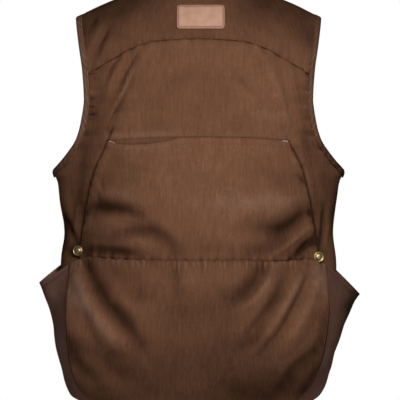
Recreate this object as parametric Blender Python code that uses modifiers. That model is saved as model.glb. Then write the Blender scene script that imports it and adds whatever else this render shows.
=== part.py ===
# A canvas game vest, worn and hollow. Metres, +Z up. The back faces -Y and the wearer's right is +X.
# The origin lies midway between the neck ends of the two shoulder seams.
import math

import bpy
import numpy as np
from mathutils import Vector

# Cloth and seams
CLOTH = 0.0015
SEAM_GAP = 0.0004
LAP_GAP = 0.0006
HALF_SEAM = 0.00025

# The general shape: superelliptic rings, rounded over towards the shoulder seam
RING_POWER = 2.3
SHOULDER_POWER = 2.4
SHOULDER_START = -0.200
UNDERARM = -0.325
FRONT_HEM = -0.655
TAIL_START = -0.660
NECK_END = 0.086
SHOULDER_END = 0.2155
BACK_NECK_LEVEL = 0.605
NECK_ROUNDNESS = 2.5

RING_COLUMNS = ("height", "half_width", "back_depth", "front_depth")
RINGS = (
    (0.020, 0.2500, 0.104, 0.098),
    (-0.100, 0.2500, 0.120, 0.114),
    (-0.200, 0.2500, 0.128, 0.128),
    (-0.290, 0.2535, 0.128, 0.132),
    (-0.325, 0.2555, 0.126, 0.132),
    (-0.348, 0.2480, 0.124, 0.131),
    (-0.376, 0.2445, 0.121, 0.130),
    (-0.433, 0.2375, 0.118, 0.128),
    (-0.489, 0.2435, 0.118, 0.128),
    (-0.560, 0.2430, 0.119, 0.129),
    (-0.655, 0.2335, 0.119, 0.130),
    (-0.765, 0.2200, 0.115, 0.130),
)

# Edges and seams, each as distance from the middle against height
SHOULDER_SEAM = ((0.0, 0.012), (0.086, 0.0), (0.149, -0.022), (0.2155, -0.054), (0.255, -0.074))
BACK_ARMHOLE = (
    (-0.054, 0.2155),
    (-0.107, 0.2074),
    (-0.156, 0.2000),
    (-0.199, 0.1972),
    (-0.240, 0.2026),
    (-0.268, 0.2103),
    (-0.295, 0.2270),
    (-0.309, 0.2387),
    (-0.325, 0.2555),
)
FRONT_ARMHOLE = (
    (-0.054, 0.2155),
    (-0.107, 0.2010),
    (-0.156, 0.1900),
    (-0.199, 0.1870),
    (-0.240, 0.1930),
    (-0.268, 0.2040),
    (-0.295, 0.2240),
    (-0.309, 0.2380),
    (-0.325, 0.2555),
)
TAIL_EDGE = (
    (-0.660, 0.2329),
    (-0.685, 0.2270),
    (-0.705, 0.2180),
    (-0.722, 0.2030),
    (-0.735, 0.1820),
    (-0.745, 0.155),
)
POUCH_SEAM = (
    (-0.098, 0.118),
    (-0.236, 0.143),
    (-0.266, 0.152),
    (-0.293, 0.164),
    (-0.325, 0.179),
    (-0.402, 0.197),
    (-0.470, 0.208),
)

# Rows across the back, each as height against distance from the middle
YOKE_SEAM = (
    (0.0, -0.0980),
    (0.058, -0.1012),
    (0.084, -0.1043),
    (0.102, -0.1098),
    (0.122, -0.1180),
    (0.142, -0.1295),
    (0.164, -0.1415),
    (0.183, -0.1535),
    (0.202, -0.1640),
)
POUCH_MOUTH = ((0.0, -0.2685), (0.080, -0.2695), (0.150, -0.2735), (0.210, -0.2800))
UNDERARM_ROW = ((0.0, UNDERARM), (0.260, UNDERARM))
WAIST_SEAM = ((0.0, -0.4790), (0.110, -0.4775), (0.190, -0.4740), (0.2235, -0.4850), (0.245, -0.4900))
TAIL_ROW = ((0.0, -0.7650), (0.080, -0.7630), (0.120, -0.7570), (0.155, -0.7450))

# Columns and rows of the grids
BAND = 0.0105
SIDE_CELLS = 4
SIDE_SHARE = 0.93
CENTRE_CELLS = 20
NECK_CELLS = 7
YOKE_ROWS = 7
BACK_ROWS = (6, 4, 8, 8)
FRONT_CELLS = 9
FRONT_LEVELS = (1.0, 0.88, 0.76, 0.62, 0.48, 0.32, 0.16, 0.0)
ARMHOLE_HEIGHTS = (-0.228, -0.255, -0.280, -0.303, UNDERARM)
SIDE_HEIGHTS = (-0.348, -0.376, -0.410, -0.450, -0.490, -0.530, -0.572, -0.614, FRONT_HEM)
EDGE_PASSES = 12

# The pouch: how far it stands off the back at its mouth and at the waist
MOUTH_STAND = 0.0120
WAIST_STAND = 0.0340
POUCH_SLUMP = 0.0050
POUCH_FLAT_EDGE = 0.90
POUCH_MOUTH_POWER = 3.0
POUCH_WAIST_POWER = 2.2
POUCH_FILL = 0.85
POUCH_SIDE_FADE = 4
POUCH_WAIST_FADE = 5

# The game bag below the waist seam, one section a row
BAG_COLUMNS = ("share", "middle_z", "edge_z", "middle_y", "edge_y", "left_x", "right_x")
BAG = (
    (0.00, -0.4794, -0.4854, -0.1520, -0.0600, -0.2235, 0.2230),
    (0.12, -0.5130, -0.5170, -0.1860, -0.1060, -0.2240, 0.2225),
    (0.26, -0.5540, -0.5560, -0.2030, -0.1380, -0.2260, 0.2230),
    (0.42, -0.6030, -0.6030, -0.2020, -0.1520, -0.2245, 0.2185),
    (0.56, -0.6470, -0.6450, -0.1920, -0.1540, -0.2200, 0.2100),
    (0.69, -0.6870, -0.6830, -0.1780, -0.1480, -0.2105, 0.1950),
    (0.80, -0.7180, -0.7100, -0.1630, -0.1380, -0.1920, 0.1750),
    (0.91, -0.7420, -0.7300, -0.1460, -0.1270, -0.1650, 0.1520),
    (1.00, -0.7590, -0.7400, -0.1220, -0.1150, -0.1400, 0.1300),
)
BAG_ROUNDNESS = 2.5
BAG_CELLS = 34
BAG_ROWS = 17
BAG_LAP = 0.005
BAG_HEIGHT = 0.28
BAG_HALF = 0.22

# The dark side pieces: where the mouth of each lies, and its widest point as height against distance
# from the middle
GUSSET_CELLS = 8
GUSSETS = {
    "left": {
        "tip_z": -0.5215,
        "lap_z": -0.491,
        "width": (
            (-0.5215, 0.2790),
            (-0.545, 0.2695),
            (-0.571, 0.2590),
            (-0.613, 0.2515),
            (-0.641, 0.2465),
            (-0.669, 0.2380),
            (-0.697, 0.2285),
            (-0.723, 0.2130),
            (-0.748, 0.1700),
        ),
    },
    "right": {
        "tip_z": -0.5405,
        "lap_z": -0.500,
        "width": (
            (-0.5405, 0.2820),
            (-0.557, 0.2710),
            (-0.585, 0.2590),
            (-0.613, 0.2480),
            (-0.641, 0.2370),
            (-0.669, 0.2280),
            (-0.697, 0.2155),
            (-0.723, 0.1980),
            (-0.748, 0.1600),
        ),
    },
}
GUSSET_MIDDLE_Y = ((-0.520, -0.028), (-0.600, -0.045), (-0.680, -0.065), (-0.748, -0.105))
GUSSET_LAP = ((-0.500, 98.0), (-0.640, 98.0), (-0.672, 86.0))
GUSSET_TAIL_TURN = 4.0
GUSSET_BOTTOM = -0.7440
GUSSET_EDGE_GAP = 0.00056
GUSSET_CORNER = 0.06
GUSSET_CORNER_GAP = 0.0006

# Folds, as soft ridges (positive) and troughs (negative): x and z of the start and the end of each
# one's line, then its half width and its height
BACK_FOLDS = (
    (-0.135, -0.129, -0.169, -0.184, 0.013, -0.0040),
    (-0.100, -0.115, -0.157, -0.222, 0.014, -0.0045),
    (-0.114, -0.140, -0.150, -0.170, 0.013, 0.0025),
    (0.117, -0.130, 0.143, -0.200, 0.015, 0.0045),
    (0.143, -0.200, 0.147, -0.245, 0.014, 0.0030),
    (0.083, -0.183, 0.139, -0.236, 0.012, -0.0025),
    (-0.225, -0.350, -0.215, -0.440, 0.014, -0.0030),
    (0.226, -0.370, 0.216, -0.440, 0.014, -0.0030),
)
POUCH_FOLDS = (
    (-0.185, -0.380, -0.133, -0.386, 0.015, -0.0045),
    (-0.133, -0.386, -0.098, -0.400, 0.014, -0.0045),
    (-0.150, -0.410, -0.080, -0.415, 0.014, 0.0040),
    (-0.122, -0.432, -0.038, -0.445, 0.014, -0.0045),
    (0.180, -0.405, 0.110, -0.426, 0.015, -0.0045),
    (0.170, -0.428, 0.110, -0.445, 0.014, 0.0035),
    (0.198, -0.438, 0.162, -0.462, 0.014, -0.0040),
    (-0.030, -0.350, 0.060, -0.360, 0.030, 0.0030),
)
BAG_FOLDS = (
    (-0.190, -0.482, -0.132, -0.571, 0.016, -0.0090),
    (-0.132, -0.571, -0.099, -0.622, 0.018, -0.0070),
    (-0.209, -0.500, -0.184, -0.562, 0.014, 0.0050),
    (-0.184, -0.562, -0.150, -0.613, 0.014, 0.0040),
    (-0.202, -0.572, -0.161, -0.628, 0.014, -0.0060),
    (-0.208, -0.640, -0.180, -0.676, 0.015, -0.0050),
    (0.111, -0.488, 0.053, -0.536, 0.014, -0.0060),
    (0.127, -0.492, 0.067, -0.566, 0.013, 0.0035),
    (0.150, -0.494, 0.084, -0.605, 0.014, -0.0070),
    (0.178, -0.498, 0.100, -0.620, 0.013, 0.0040),
    (0.189, -0.498, 0.129, -0.608, 0.013, -0.0070),
    (0.197, -0.512, 0.139, -0.633, 0.014, 0.0045),
    (0.210, -0.560, 0.150, -0.659, 0.015, -0.0080),
    (-0.050, -0.560, 0.020, -0.600, 0.050, 0.0040),
)
FOLD_EDGE = 0.020

# Small parts
BINDING = 0.0012
BINDING_DIP = -0.280
BINDING_DIP_LENGTH = 0.020
UNDERARM_LIFT = 0.0014
PATCH_CENTRE = (0.004, -0.0612)
PATCH_HALF = (0.0415, 0.0215)
PATCH_LEATHER = 0.0020
PATCH_CELLS = (8, 4)
PATCH_CORNER = 0.0022
PATCH_CORNER_POWER = 6
PLACKET_HALF = 0.016
PLACKET_TOP = -0.208
PLACKET_ROWS = 14
SNAP_RING = 0.0085
SNAP_CAP = 0.0062
SNAP_CAP_STEP = 0.0004
SNAP_RING_HEIGHT = 0.0012
SNAP_EDGE_SHARE = 0.8
SNAP_HEIGHT = 0.0034
SNAP_FLATNESS = 0.35
SNAP_CAP_ANGLES = (0.0, 0.5, 1.0, 1.45)
SNAP_STEPS = 16
SNAP_MERGE = 0.00001
BACK_SNAP_GAP = 0.0008
BACK_SNAPS = {"snap_back_left": (-0.2065, -0.4660), "snap_back_right": (0.2070, -0.4725)}
FRONT_SNAP_HEIGHTS = (-0.224, -0.323, -0.422, -0.521, -0.620)
BODY_MIDDLE = (0.0, 0.0, -0.3)
NORMAL_STEP = 0.002

MATERIALS = {
    "canvas": ((0.150, 0.082, 0.046), 0.85, 0.0),
    "side_canvas": ((0.055, 0.032, 0.028), 0.85, 0.0),
    "binding": ((0.130, 0.062, 0.034), 0.80, 0.0),
    "leather": ((0.520, 0.300, 0.220), 0.55, 0.0),
    "brass": ((0.560, 0.430, 0.220), 0.30, 1.0),
}


def curve_through(points, at):
    """Height of a smooth curve through a table's points, with no overshoot between them."""
    xs, ys = (np.array(values, float) for values in zip(*sorted(points)))
    steps = np.diff(xs)
    slopes = np.diff(ys) / steps
    product = slopes[:-1] * slopes[1:]
    total = np.where(product > 0, slopes[:-1] + slopes[1:], 1.0)
    inner = np.where(product > 0, 2 * product / total, 0.0)
    tangents = np.concatenate([slopes[:1], inner, slopes[-1:]])
    at = np.clip(at, xs[0], xs[-1])
    i = np.clip(np.searchsorted(xs, at) - 1, 0, len(steps) - 1)
    step = steps[i]
    t = (at - xs[i]) / step
    start = ys[i] * (1 + 2 * t) + tangents[i] * step * t
    end = ys[i + 1] * (3 - 2 * t) - tangents[i + 1] * step * (1 - t)
    return start * (1 - t) ** 2 + end * t**2


def table_column(rows, names, name, by=0):
    """Pairs of the first column and the named one."""
    return [(row[by], row[names.index(name)]) for row in rows]


def ring(name, height):
    return curve_through(table_column(RINGS, RING_COLUMNS, name), height)


def superellipse(angle, power):
    """Sine and cosine of a superellipse: both are 0 to 1, and their powers add up to 1."""
    sine, cosine = np.sin(angle), np.cos(angle)
    size = (np.abs(sine) ** power + np.abs(cosine) ** power) ** (-1 / power)
    return sine * size, cosine * size


def shell(angle, level, front=False):
    """A point of the worn cloth. The angle runs from the middle of the back or front, 0, to the side seam.
    A level below 0 is metres under SHOULDER_START, and from 0 to 1 it rounds over to the shoulder seam."""
    across, away = superellipse(angle, RING_POWER)
    up, flat = superellipse(np.clip(level, 0, 1) * math.pi / 2, SHOULDER_POWER)
    low = SHOULDER_START + np.minimum(level, 0)
    x = ring("half_width", low) * across
    z = low + (curve_through(SHOULDER_SEAM, np.abs(x)) - SHOULDER_START) * up
    depth = ring("front_depth" if front else "back_depth", z)
    y = depth * np.abs(away) * flat + HALF_SEAM
    return np.stack([x, y if front else -y, z], -1)


def locate(x, z):
    """Angle and level of the point that is seen at x and z."""
    x, z = np.broadcast_arrays(np.asarray(x, float), np.asarray(z, float))
    top = curve_through(SHOULDER_SEAM, np.abs(x))
    rise = np.clip((z - SHOULDER_START) / (top - SHOULDER_START), 0, 1)
    flat = (1 - rise**SHOULDER_POWER) ** (1 / SHOULDER_POWER)
    level = np.where(z > SHOULDER_START, np.arctan2(rise, flat) * 2 / math.pi, z - SHOULDER_START)
    share = np.clip(np.abs(x) / ring("half_width", np.minimum(z, SHOULDER_START)), 0, 1)
    away = (1 - share**RING_POWER) ** (1 / RING_POWER)
    return np.arctan2(share, away) * np.sign(x), level


def side_angle(z, armhole):
    """Angle of a panel's outer edge: the armhole, then the side seam, then the rounded tail."""
    if z > UNDERARM:
        return float(locate(curve_through(armhole, z), z)[0])
    if z < TAIL_START:
        return float(locate(curve_through(TAIL_EDGE, z), z)[0])
    return math.pi / 2


def band_angle(angle, z):
    """The angle that lies one binding's width inside an edge."""
    depth = ring("back_depth", z)
    width = ring("half_width", min(z, SHOULDER_START))
    return angle - BAND / math.hypot(width * math.cos(angle), depth * math.sin(angle))


def fold_heights(table, x, z):
    """Sum of the folds: each is highest on its line and fades to both sides and past its ends."""
    total = np.zeros(np.broadcast(x, z).shape)
    for x_start, z_start, x_end, z_end, half_width, height in table:
        run, drop = x_end - x_start, z_end - z_start
        share = ((x - x_start) * run + (z - z_start) * drop) / (run**2 + drop**2)
        share = np.clip(share, 0, 1)
        away = np.hypot(x - x_start - share * run, z - z_start - share * drop)
        total += height * np.exp(-((away / half_width) ** 2))
    return total


def outward(grid):
    """Unit normals of a grid whose rows run down and whose columns run to the right, seen from outside."""
    normal = np.cross(np.gradient(grid, axis=0), np.gradient(grid, axis=1))
    return normal / np.linalg.norm(normal, axis=-1, keepdims=True)


def faces_wearer(grid):
    return np.sum(outward(grid) * (grid - np.array(BODY_MIDDLE))) < 0


def facing_out(grid):
    """The grid with its columns turned round if its faces would point at the wearer."""
    return grid[:, ::-1] if faces_wearer(grid) else grid


def outward_away(grid):
    """Normals that point away from the wearer whichever way the columns run."""
    return -outward(grid) if faces_wearer(grid) else outward(grid)


def moved_out(grid, distance):
    return grid + outward(grid) * np.asarray(distance)[..., None]


def back_row(heights):
    """Angles and levels of one row of the back, from the left edge to the right one."""
    edge_x, seam_x = SHOULDER_END, NECK_END
    for _ in range(EDGE_PASSES):
        edge_z = float(curve_through(heights, edge_x))
        angle = side_angle(edge_z, BACK_ARMHOLE)
        width = ring("half_width", min(edge_z, SHOULDER_START))
        edge_x = float(width * superellipse(angle, RING_POWER)[0])
        seam_z = float(curve_through(heights, seam_x))
        seam_x = min(float(curve_through(POUCH_SEAM, seam_z)), edge_x * SIDE_SHARE)
    seam = float(locate(seam_x, seam_z)[0])
    band = band_angle(angle, edge_z)
    side = np.concatenate([[angle], np.linspace(band, seam, SIDE_CELLS + 1)])
    centre = np.linspace(-seam, seam, CENTRE_CELLS + 1)
    angles = np.concatenate([-side[:-1], centre, side[:-1][::-1]])
    width = ring("half_width", np.full(angles.shape, min(seam_z, SHOULDER_START)))
    x = width * superellipse(angles, RING_POWER)[0]
    return angles, locate(x, curve_through(heights, np.abs(x)))[1]


def between(upper, lower, share):
    """The row that lies between two rows, as a table of heights."""
    stations = sorted({x for x, _ in upper} | {x for x, _ in lower})
    return [(x, (1 - share) * curve_through(upper, x) + share * curve_through(lower, x)) for x in stations]


def back_grid():
    """The back below the yoke, down to the tail: it is also the inner wall of the pouch and the bag."""
    keys = (YOKE_SEAM, POUCH_MOUTH, UNDERARM_ROW, WAIST_SEAM, TAIL_ROW)
    rows = [back_row([(x, z - SEAM_GAP) for x, z in YOKE_SEAM])]
    for upper, lower, count in zip(keys, keys[1:], BACK_ROWS):
        rows += [back_row(between(upper, lower, (k + 1) / count)) for k in range(count)]
    angles, levels = (np.array(values) for values in zip(*rows))
    return folded_back(shell(angles, levels))


def folded_back(grid):
    return moved_out(grid, fold_heights(BACK_FOLDS, grid[..., 0], grid[..., 2]))


def yoke_grid():
    """The yoke: from the neck and the shoulder seams down to its curved seam."""
    low_angles, low_levels = back_row(YOKE_SEAM)
    count = len(low_angles) // 2
    neck = np.linspace(0, NECK_END, NECK_CELLS + 1)
    shoulder = np.linspace(NECK_END, SHOULDER_END - BAND, count - NECK_CELLS)[1:]
    half = np.concatenate([neck, shoulder, [SHOULDER_END]])
    x = np.concatenate([-half[:0:-1], half])
    top_angles = locate(x, SHOULDER_START)[0]
    round_up = (np.minimum(np.abs(x) / NECK_END, 1)) ** NECK_ROUNDNESS
    top_levels = BACK_NECK_LEVEL + (1 - BACK_NECK_LEVEL) * round_up
    shares = np.linspace(0, 1, YOKE_ROWS + 1)[:, None]
    angles = top_angles + (low_angles - top_angles) * shares
    levels = top_levels + (low_levels - top_levels) * shares
    return folded_back(shell(angles, levels))


def pouch_grid(back):
    """The blouse: the back's own points between the mouth and the waist, moved out."""
    first, last = BACK_ROWS[0], sum(BACK_ROWS[:3])
    left = SIDE_CELLS + 1
    base = back[first : last + 1, left : left + CENTRE_CELLS + 1]
    rows = np.linspace(0, 1, base.shape[0])[:, None]
    across = np.abs(np.linspace(-1, 1, base.shape[1]))[None]
    power = POUCH_MOUTH_POWER + (POUCH_WAIST_POWER - POUCH_MOUTH_POWER) * rows
    belly = 1 - np.minimum(across / POUCH_FLAT_EDGE, 1) ** power
    stand = MOUTH_STAND + (WAIST_STAND - MOUTH_STAND) * rows**POUCH_FILL
    stand = stand + POUCH_SLUMP * np.sin(math.pi * rows)
    side_fade = np.minimum(1, POUCH_SIDE_FADE * (1 - across))
    folds = fold_heights(POUCH_FOLDS, base[..., 0], base[..., 2]) * side_fade
    fade = np.minimum(1, POUCH_WAIST_FADE * (1 - rows))
    grid = moved_out(base, CLOTH + LAP_GAP + (stand + folds * fade) * belly)
    grid[-1, :, 2] = base[-1, :, 2] + SEAM_GAP
    return grid


def bag_column(name, share):
    return curve_through(table_column(BAG, BAG_COLUMNS, name), share)


def waist_row(x):
    """The waist seam on the bag's side, standing off the back as the pouch does."""
    z = curve_through(WAIST_SEAM, np.abs(x))
    points = shell(*locate(x, z))
    reach = POUCH_SEAM[-1][1] * POUCH_FLAT_EDGE
    belly = 1 - np.minimum(np.abs(x) / reach, 1) ** POUCH_WAIST_POWER
    points[:, 1] -= CLOTH + LAP_GAP + WAIST_STAND * belly
    return points


def bag_grid():
    """The game bag: a bulging panel from the waist seam, turned under to the tail."""
    share = np.linspace(0, 1, BAG_ROWS + 1)[:, None]
    across = np.linspace(-1, 1, BAG_CELLS + 1)[None]
    left, right = bag_column("left_x", share), bag_column("right_x", share)
    x = (left + right) / 2 + (right - left) / 2 * across
    belly = 1 - np.abs(across) ** BAG_ROUNDNESS
    middle_y, edge_y = bag_column("middle_y", share), bag_column("edge_y", share)
    middle_z, edge_z = bag_column("middle_z", share), bag_column("edge_z", share)
    y = edge_y + (middle_y - edge_y) * belly
    z = edge_z + (middle_z - edge_z) * belly
    grid = np.stack(np.broadcast_arrays(x, y, z), -1)
    grid[0] = waist_row(x[0])
    tail = np.stack([x[-1], curve_through(TAIL_ROW, np.abs(x[-1])) + BAG_LAP], -1)
    grid[-1] = shell(*locate(tail[:, 0], tail[:, 1]))
    grid[-1, :, 1] -= CLOTH + LAP_GAP
    top, low, side = share * BAG_HEIGHT, (1 - share) * BAG_HEIGHT, (1 - np.abs(across)) * BAG_HALF
    fade = np.clip(np.minimum(np.minimum(top, low), side) / FOLD_EDGE, 0, 1)
    return moved_out(grid, fold_heights(BAG_FOLDS, grid[..., 0], grid[..., 2]) * fade)


def body_point(degrees, z, sign, lift):
    """A point on the cloth at an angle from the middle of the back, moved out level."""
    front = degrees > 90
    angle = math.radians(180 - degrees if front else degrees)
    point = shell(np.array(angle * sign), np.array(z - SHOULDER_START), front)
    direction = np.array([math.sin(angle) * sign, math.cos(angle) * (1 if front else -1), 0.0])
    return point + direction * lift


def gusset_grid(bag, name):
    """A dark side piece: sewn under the bag's edge, bowed out, and sewn to the vest's side."""
    sizes = GUSSETS[name]
    sign = -1 if name == "left" else 1
    shares = np.linspace(0, 1, len(bag))
    under = np.minimum(shares / GUSSET_CORNER, 1)[:, None] * np.ones(bag.shape[:2])
    tucked = moved_out(bag, -(CLOTH + GUSSET_EDGE_GAP) * under)
    corner = np.array([sign, 1.0, 0.0]) * GUSSET_CORNER_GAP
    edge = tucked[:, 0 if sign < 0 else -1] + corner * (1 - under[:, :1])
    across = np.linspace(0, 1, GUSSET_CELLS + 1)
    rows = []
    for share, start in zip(shares, edge):
        middle_z = sizes["tip_z"] + (GUSSET_BOTTOM - sizes["tip_z"]) * share
        lap_z = sizes["lap_z"] + (GUSSET_BOTTOM - sizes["lap_z"]) * share
        width = float(curve_through(sizes["width"], middle_z))
        middle = np.array([sign * width, float(curve_through(GUSSET_MIDDLE_Y, middle_z)), middle_z])
        if lap_z > TAIL_START:
            degrees = float(curve_through(GUSSET_LAP, lap_z))
        else:
            degrees = math.degrees(side_angle(lap_z, BACK_ARMHOLE)) - GUSSET_TAIL_TURN
        lap = body_point(degrees, lap_z, sign, CLOTH + LAP_GAP)
        bow = 4 * across * (1 - across)
        weights = np.stack([(1 - across) * (1 - 2 * across), bow, across * (2 * across - 1)], -1)
        rows.append(weights @ np.stack([start, middle, lap]))
    return np.array(rows)


def front_row(angle, z, inner_x, level):
    band = band_angle(angle, z)
    inner = float(locate(inner_x, min(z, SHOULDER_START))[0])
    angles = np.concatenate([[angle], np.linspace(band, inner, FRONT_CELLS + 1)])
    return angles, np.full(angles.shape, level)


def front_grid(sign):
    """One front: shoulder seam, V neck, front edge, hem and side seam, from the side to the middle."""
    rows = []
    for level in FRONT_LEVELS:
        rise = float(superellipse(level * math.pi / 2, SHOULDER_POWER)[0])
        edge_x, inner_x = SHOULDER_END, NECK_END
        for _ in range(EDGE_PASSES):
            edge_z = SHOULDER_START + (float(curve_through(SHOULDER_SEAM, edge_x)) - SHOULDER_START) * rise
            inner_z = SHOULDER_START + (float(curve_through(SHOULDER_SEAM, inner_x)) - SHOULDER_START) * rise
            edge_x = float(curve_through(FRONT_ARMHOLE, edge_z))
            inner_x = HALF_SEAM + NECK_END * (1 - inner_z / SHOULDER_START)
        rows.append(front_row(float(locate(edge_x, SHOULDER_START)[0]), edge_z, inner_x, level))
    for z in ARMHOLE_HEIGHTS + SIDE_HEIGHTS:
        angle = side_angle(z, FRONT_ARMHOLE)
        rows.append(front_row(angle, z, HALF_SEAM, z - SHOULDER_START))
    angles, levels = (np.array(values) for values in zip(*rows))
    return shell(angles * sign, levels, front=True)


def binding_grid(back, yoke, front, sign):
    """The band round one armhole: the panels' own outer points, from the back over the shoulder."""
    column = (0, 1) if sign < 0 else (-1, -2)
    underarm = BACK_ROWS[0] + BACK_ROWS[1]
    strips = []
    for grid, rows in (
        (back, slice(underarm, None, -1)),
        (yoke, slice(YOKE_ROWS - 1, None, -1)),
        (front, slice(1, len(FRONT_LEVELS + ARMHOLE_HEIGHTS))),
    ):
        low = np.clip((BINDING_DIP - grid[..., 2:]) / BINDING_DIP_LENGTH, 0, 1)
        raised = grid + outward_away(grid) * (BINDING + LAP_GAP + UNDERARM_LIFT * low)
        pair = raised[:, list(column)] if grid is not front else raised[:, [0, 1]]
        strips.append(pair[rows])
    return np.concatenate(strips)


def patch_grid():
    """The leather patch, with rounded corners, lying on the yoke."""
    p = np.linspace(-1, 1, PATCH_CELLS[0] + 1)[None]
    q = np.linspace(1, -1, PATCH_CELLS[1] + 1)[:, None]
    corner = (np.abs(p) * np.abs(q)) ** PATCH_CORNER_POWER * PATCH_CORNER
    x = PATCH_CENTRE[0] + p * (PATCH_HALF[0] - corner)
    z = PATCH_CENTRE[1] + q * (PATCH_HALF[1] - corner)
    return moved_out(shell(*locate(x, z)), np.full(x.shape, PATCH_LEATHER + LAP_GAP))


def placket_grid():
    """The strip that closes the fronts, seen from the front with its columns running to the right."""
    x = np.linspace(PLACKET_HALF, -PLACKET_HALF, 3)[None]
    z = np.linspace(PLACKET_TOP, FRONT_HEM, PLACKET_ROWS + 1)[:, None]
    x, z = np.broadcast_arrays(x, z)
    return moved_out(shell(*locate(x, z), front=True), np.full(x.shape, CLOTH + LAP_GAP))


def make_material(name):
    colour, roughness, metallic = MATERIALS[name]
    material = bpy.data.materials.new(name)
    material.use_nodes = True
    shader = material.node_tree.nodes["Principled BSDF"]
    shader.inputs["Base Color"].default_value = (*colour, 1.0)
    shader.inputs["Roughness"].default_value = roughness
    shader.inputs["Metallic"].default_value = metallic
    return material


def cloth(name, grid, material, collection, thickness=CLOTH):
    """A panel as an open sheet with its wall added on the wearer's side."""
    grid = facing_out(grid)
    rows, columns = grid.shape[:2]
    index = np.arange(rows * columns).reshape(rows, columns)
    corners = (index[:-1, :-1], index[1:, :-1], index[1:, 1:], index[:-1, 1:])
    faces = np.stack(corners, -1).reshape(-1, 4)
    mesh = bpy.data.meshes.new(name)
    mesh.from_pydata(grid.reshape(-1, 3).tolist(), [], faces.tolist())
    mesh.materials.append(material)
    mesh.shade_smooth()
    panel = bpy.data.objects.new(name, mesh)
    collection.objects.link(panel)
    wall = panel.modifiers.new("wall", "SOLIDIFY")
    wall.thickness = thickness
    wall.offset = -1.0
    return panel


def snap(name, point, direction, material, collection):
    """A press stud: a flat ring with a domed cap, turned round its own axis."""
    profile = []
    for a in SNAP_CAP_ANGLES:
        drop = SNAP_CAP * SNAP_FLATNESS * (1 - math.cos(a))
        profile.append((SNAP_CAP * math.sin(a), 0.0, SNAP_HEIGHT - drop))
    profile.append((SNAP_CAP + SNAP_CAP_STEP, 0.0, SNAP_RING_HEIGHT))
    profile.append((SNAP_RING, 0.0, SNAP_RING_HEIGHT * SNAP_EDGE_SHARE))
    profile.append((SNAP_RING, 0.0, 0.0))
    profile.append((0.0, 0.0, 0.0))
    mesh = bpy.data.meshes.new(name)
    mesh.from_pydata(profile, [(i, i + 1) for i in range(len(profile) - 1)], [])
    mesh.materials.append(material)
    stud = bpy.data.objects.new(name, mesh)
    collection.objects.link(stud)
    turn = stud.modifiers.new("turn", "SCREW")
    turn.steps = turn.render_steps = SNAP_STEPS
    turn.use_merge_vertices = True
    turn.merge_threshold = SNAP_MERGE
    stud.location = point
    stud.rotation_euler = Vector(direction).to_track_quat("Z", "Y").to_euler()
    return stud


def surface_normal(x, z, front=False):
    """Outward direction of the cloth at the point that is seen at x and z."""
    here = shell(*locate(x, z), front=front)
    down = shell(*locate(x, z - NORMAL_STEP), front=front) - here
    across = shell(*locate(x + NORMAL_STEP, z), front=front) - here
    normal = np.cross(down, across)
    normal = normal / np.linalg.norm(normal)
    return here, -normal if front else normal


def add_snaps(material, collection):
    """Two studs at the waist behind and a row down the front."""
    for name, (x, z) in BACK_SNAPS.items():
        point, normal = surface_normal(x, z)
        lift = CLOTH + LAP_GAP + BACK_SNAP_GAP + float(fold_heights(BACK_FOLDS, x, z))
        snap(name, point + normal * lift, normal, material, collection)
    for number, z in enumerate(FRONT_SNAP_HEIGHTS, 1):
        point, normal = surface_normal(0.0, z, front=True)
        name = f"snap_front_{number}"
        snap(name, point + normal * (CLOTH + 2 * LAP_GAP), normal, material, collection)


def build():
    for leftover in list(bpy.data.objects):
        bpy.data.objects.remove(leftover)
    collection = bpy.data.collections.new("game_vest")
    bpy.context.scene.collection.children.link(collection)
    looks = {name: make_material(name) for name in MATERIALS}
    back, yoke, bag = back_grid(), yoke_grid(), bag_grid()
    cloth("back_yoke", yoke, looks["canvas"], collection)
    cloth("back_panel", back, looks["canvas"], collection)
    cloth("pouch_upper", pouch_grid(back), looks["canvas"], collection)
    cloth("game_bag", bag, looks["canvas"], collection)
    for name, sign in (("left", -1), ("right", 1)):
        front = front_grid(sign)
        cloth(f"gusset_{name}", gusset_grid(bag, name), looks["side_canvas"], collection)
        cloth(f"front_{name}", front, looks["canvas"], collection)
        band = binding_grid(back, yoke, front, sign)
        cloth(f"armhole_binding_{name}", band, looks["binding"], collection, BINDING)
    cloth("front_placket", placket_grid(), looks["canvas"], collection)
    cloth("leather_patch", patch_grid(), looks["leather"], collection, PATCH_LEATHER)
    add_snaps(looks["brass"], collection)


build()
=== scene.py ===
import math
from functools import partial
import bpy
import numpy as np
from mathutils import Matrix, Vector


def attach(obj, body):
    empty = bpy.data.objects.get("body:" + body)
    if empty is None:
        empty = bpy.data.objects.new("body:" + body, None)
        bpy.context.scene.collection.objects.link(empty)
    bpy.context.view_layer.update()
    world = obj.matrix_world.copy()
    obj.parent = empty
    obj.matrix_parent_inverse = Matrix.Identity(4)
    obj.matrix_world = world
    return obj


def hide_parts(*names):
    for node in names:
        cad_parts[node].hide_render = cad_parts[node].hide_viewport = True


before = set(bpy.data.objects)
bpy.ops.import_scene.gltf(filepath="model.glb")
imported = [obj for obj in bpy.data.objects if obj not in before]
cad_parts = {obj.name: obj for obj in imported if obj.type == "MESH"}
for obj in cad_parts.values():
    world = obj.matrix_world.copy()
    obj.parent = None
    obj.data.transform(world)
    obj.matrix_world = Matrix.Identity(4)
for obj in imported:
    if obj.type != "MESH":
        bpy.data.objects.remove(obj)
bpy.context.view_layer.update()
print("frame loaded")

# General form of the worn vest, in metres. It faces as the frame does: back to -Y, up +Z.
form = {
    "ringPower": 2.3,
    "shoulderPower": 2.4,
    "shoulderStart": -0.2,
    "underarm": -0.325,
    "tailStart": -0.66,
    "frontHem": -0.655,
    "neckEnd": 0.086,
    "shoulderEnd": 0.2155,
    "backNeckLevel": 0.605,
    "neckRoundness": 2.5,
    "halfSeam": 0.0004,
}
cloth = {"thickness": 0.0011, "lap": 0.0004, "tuck": 0.0014, "onBack": 0.0021}
sideNames = {-1: "Left", 1: "Right"}

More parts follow.
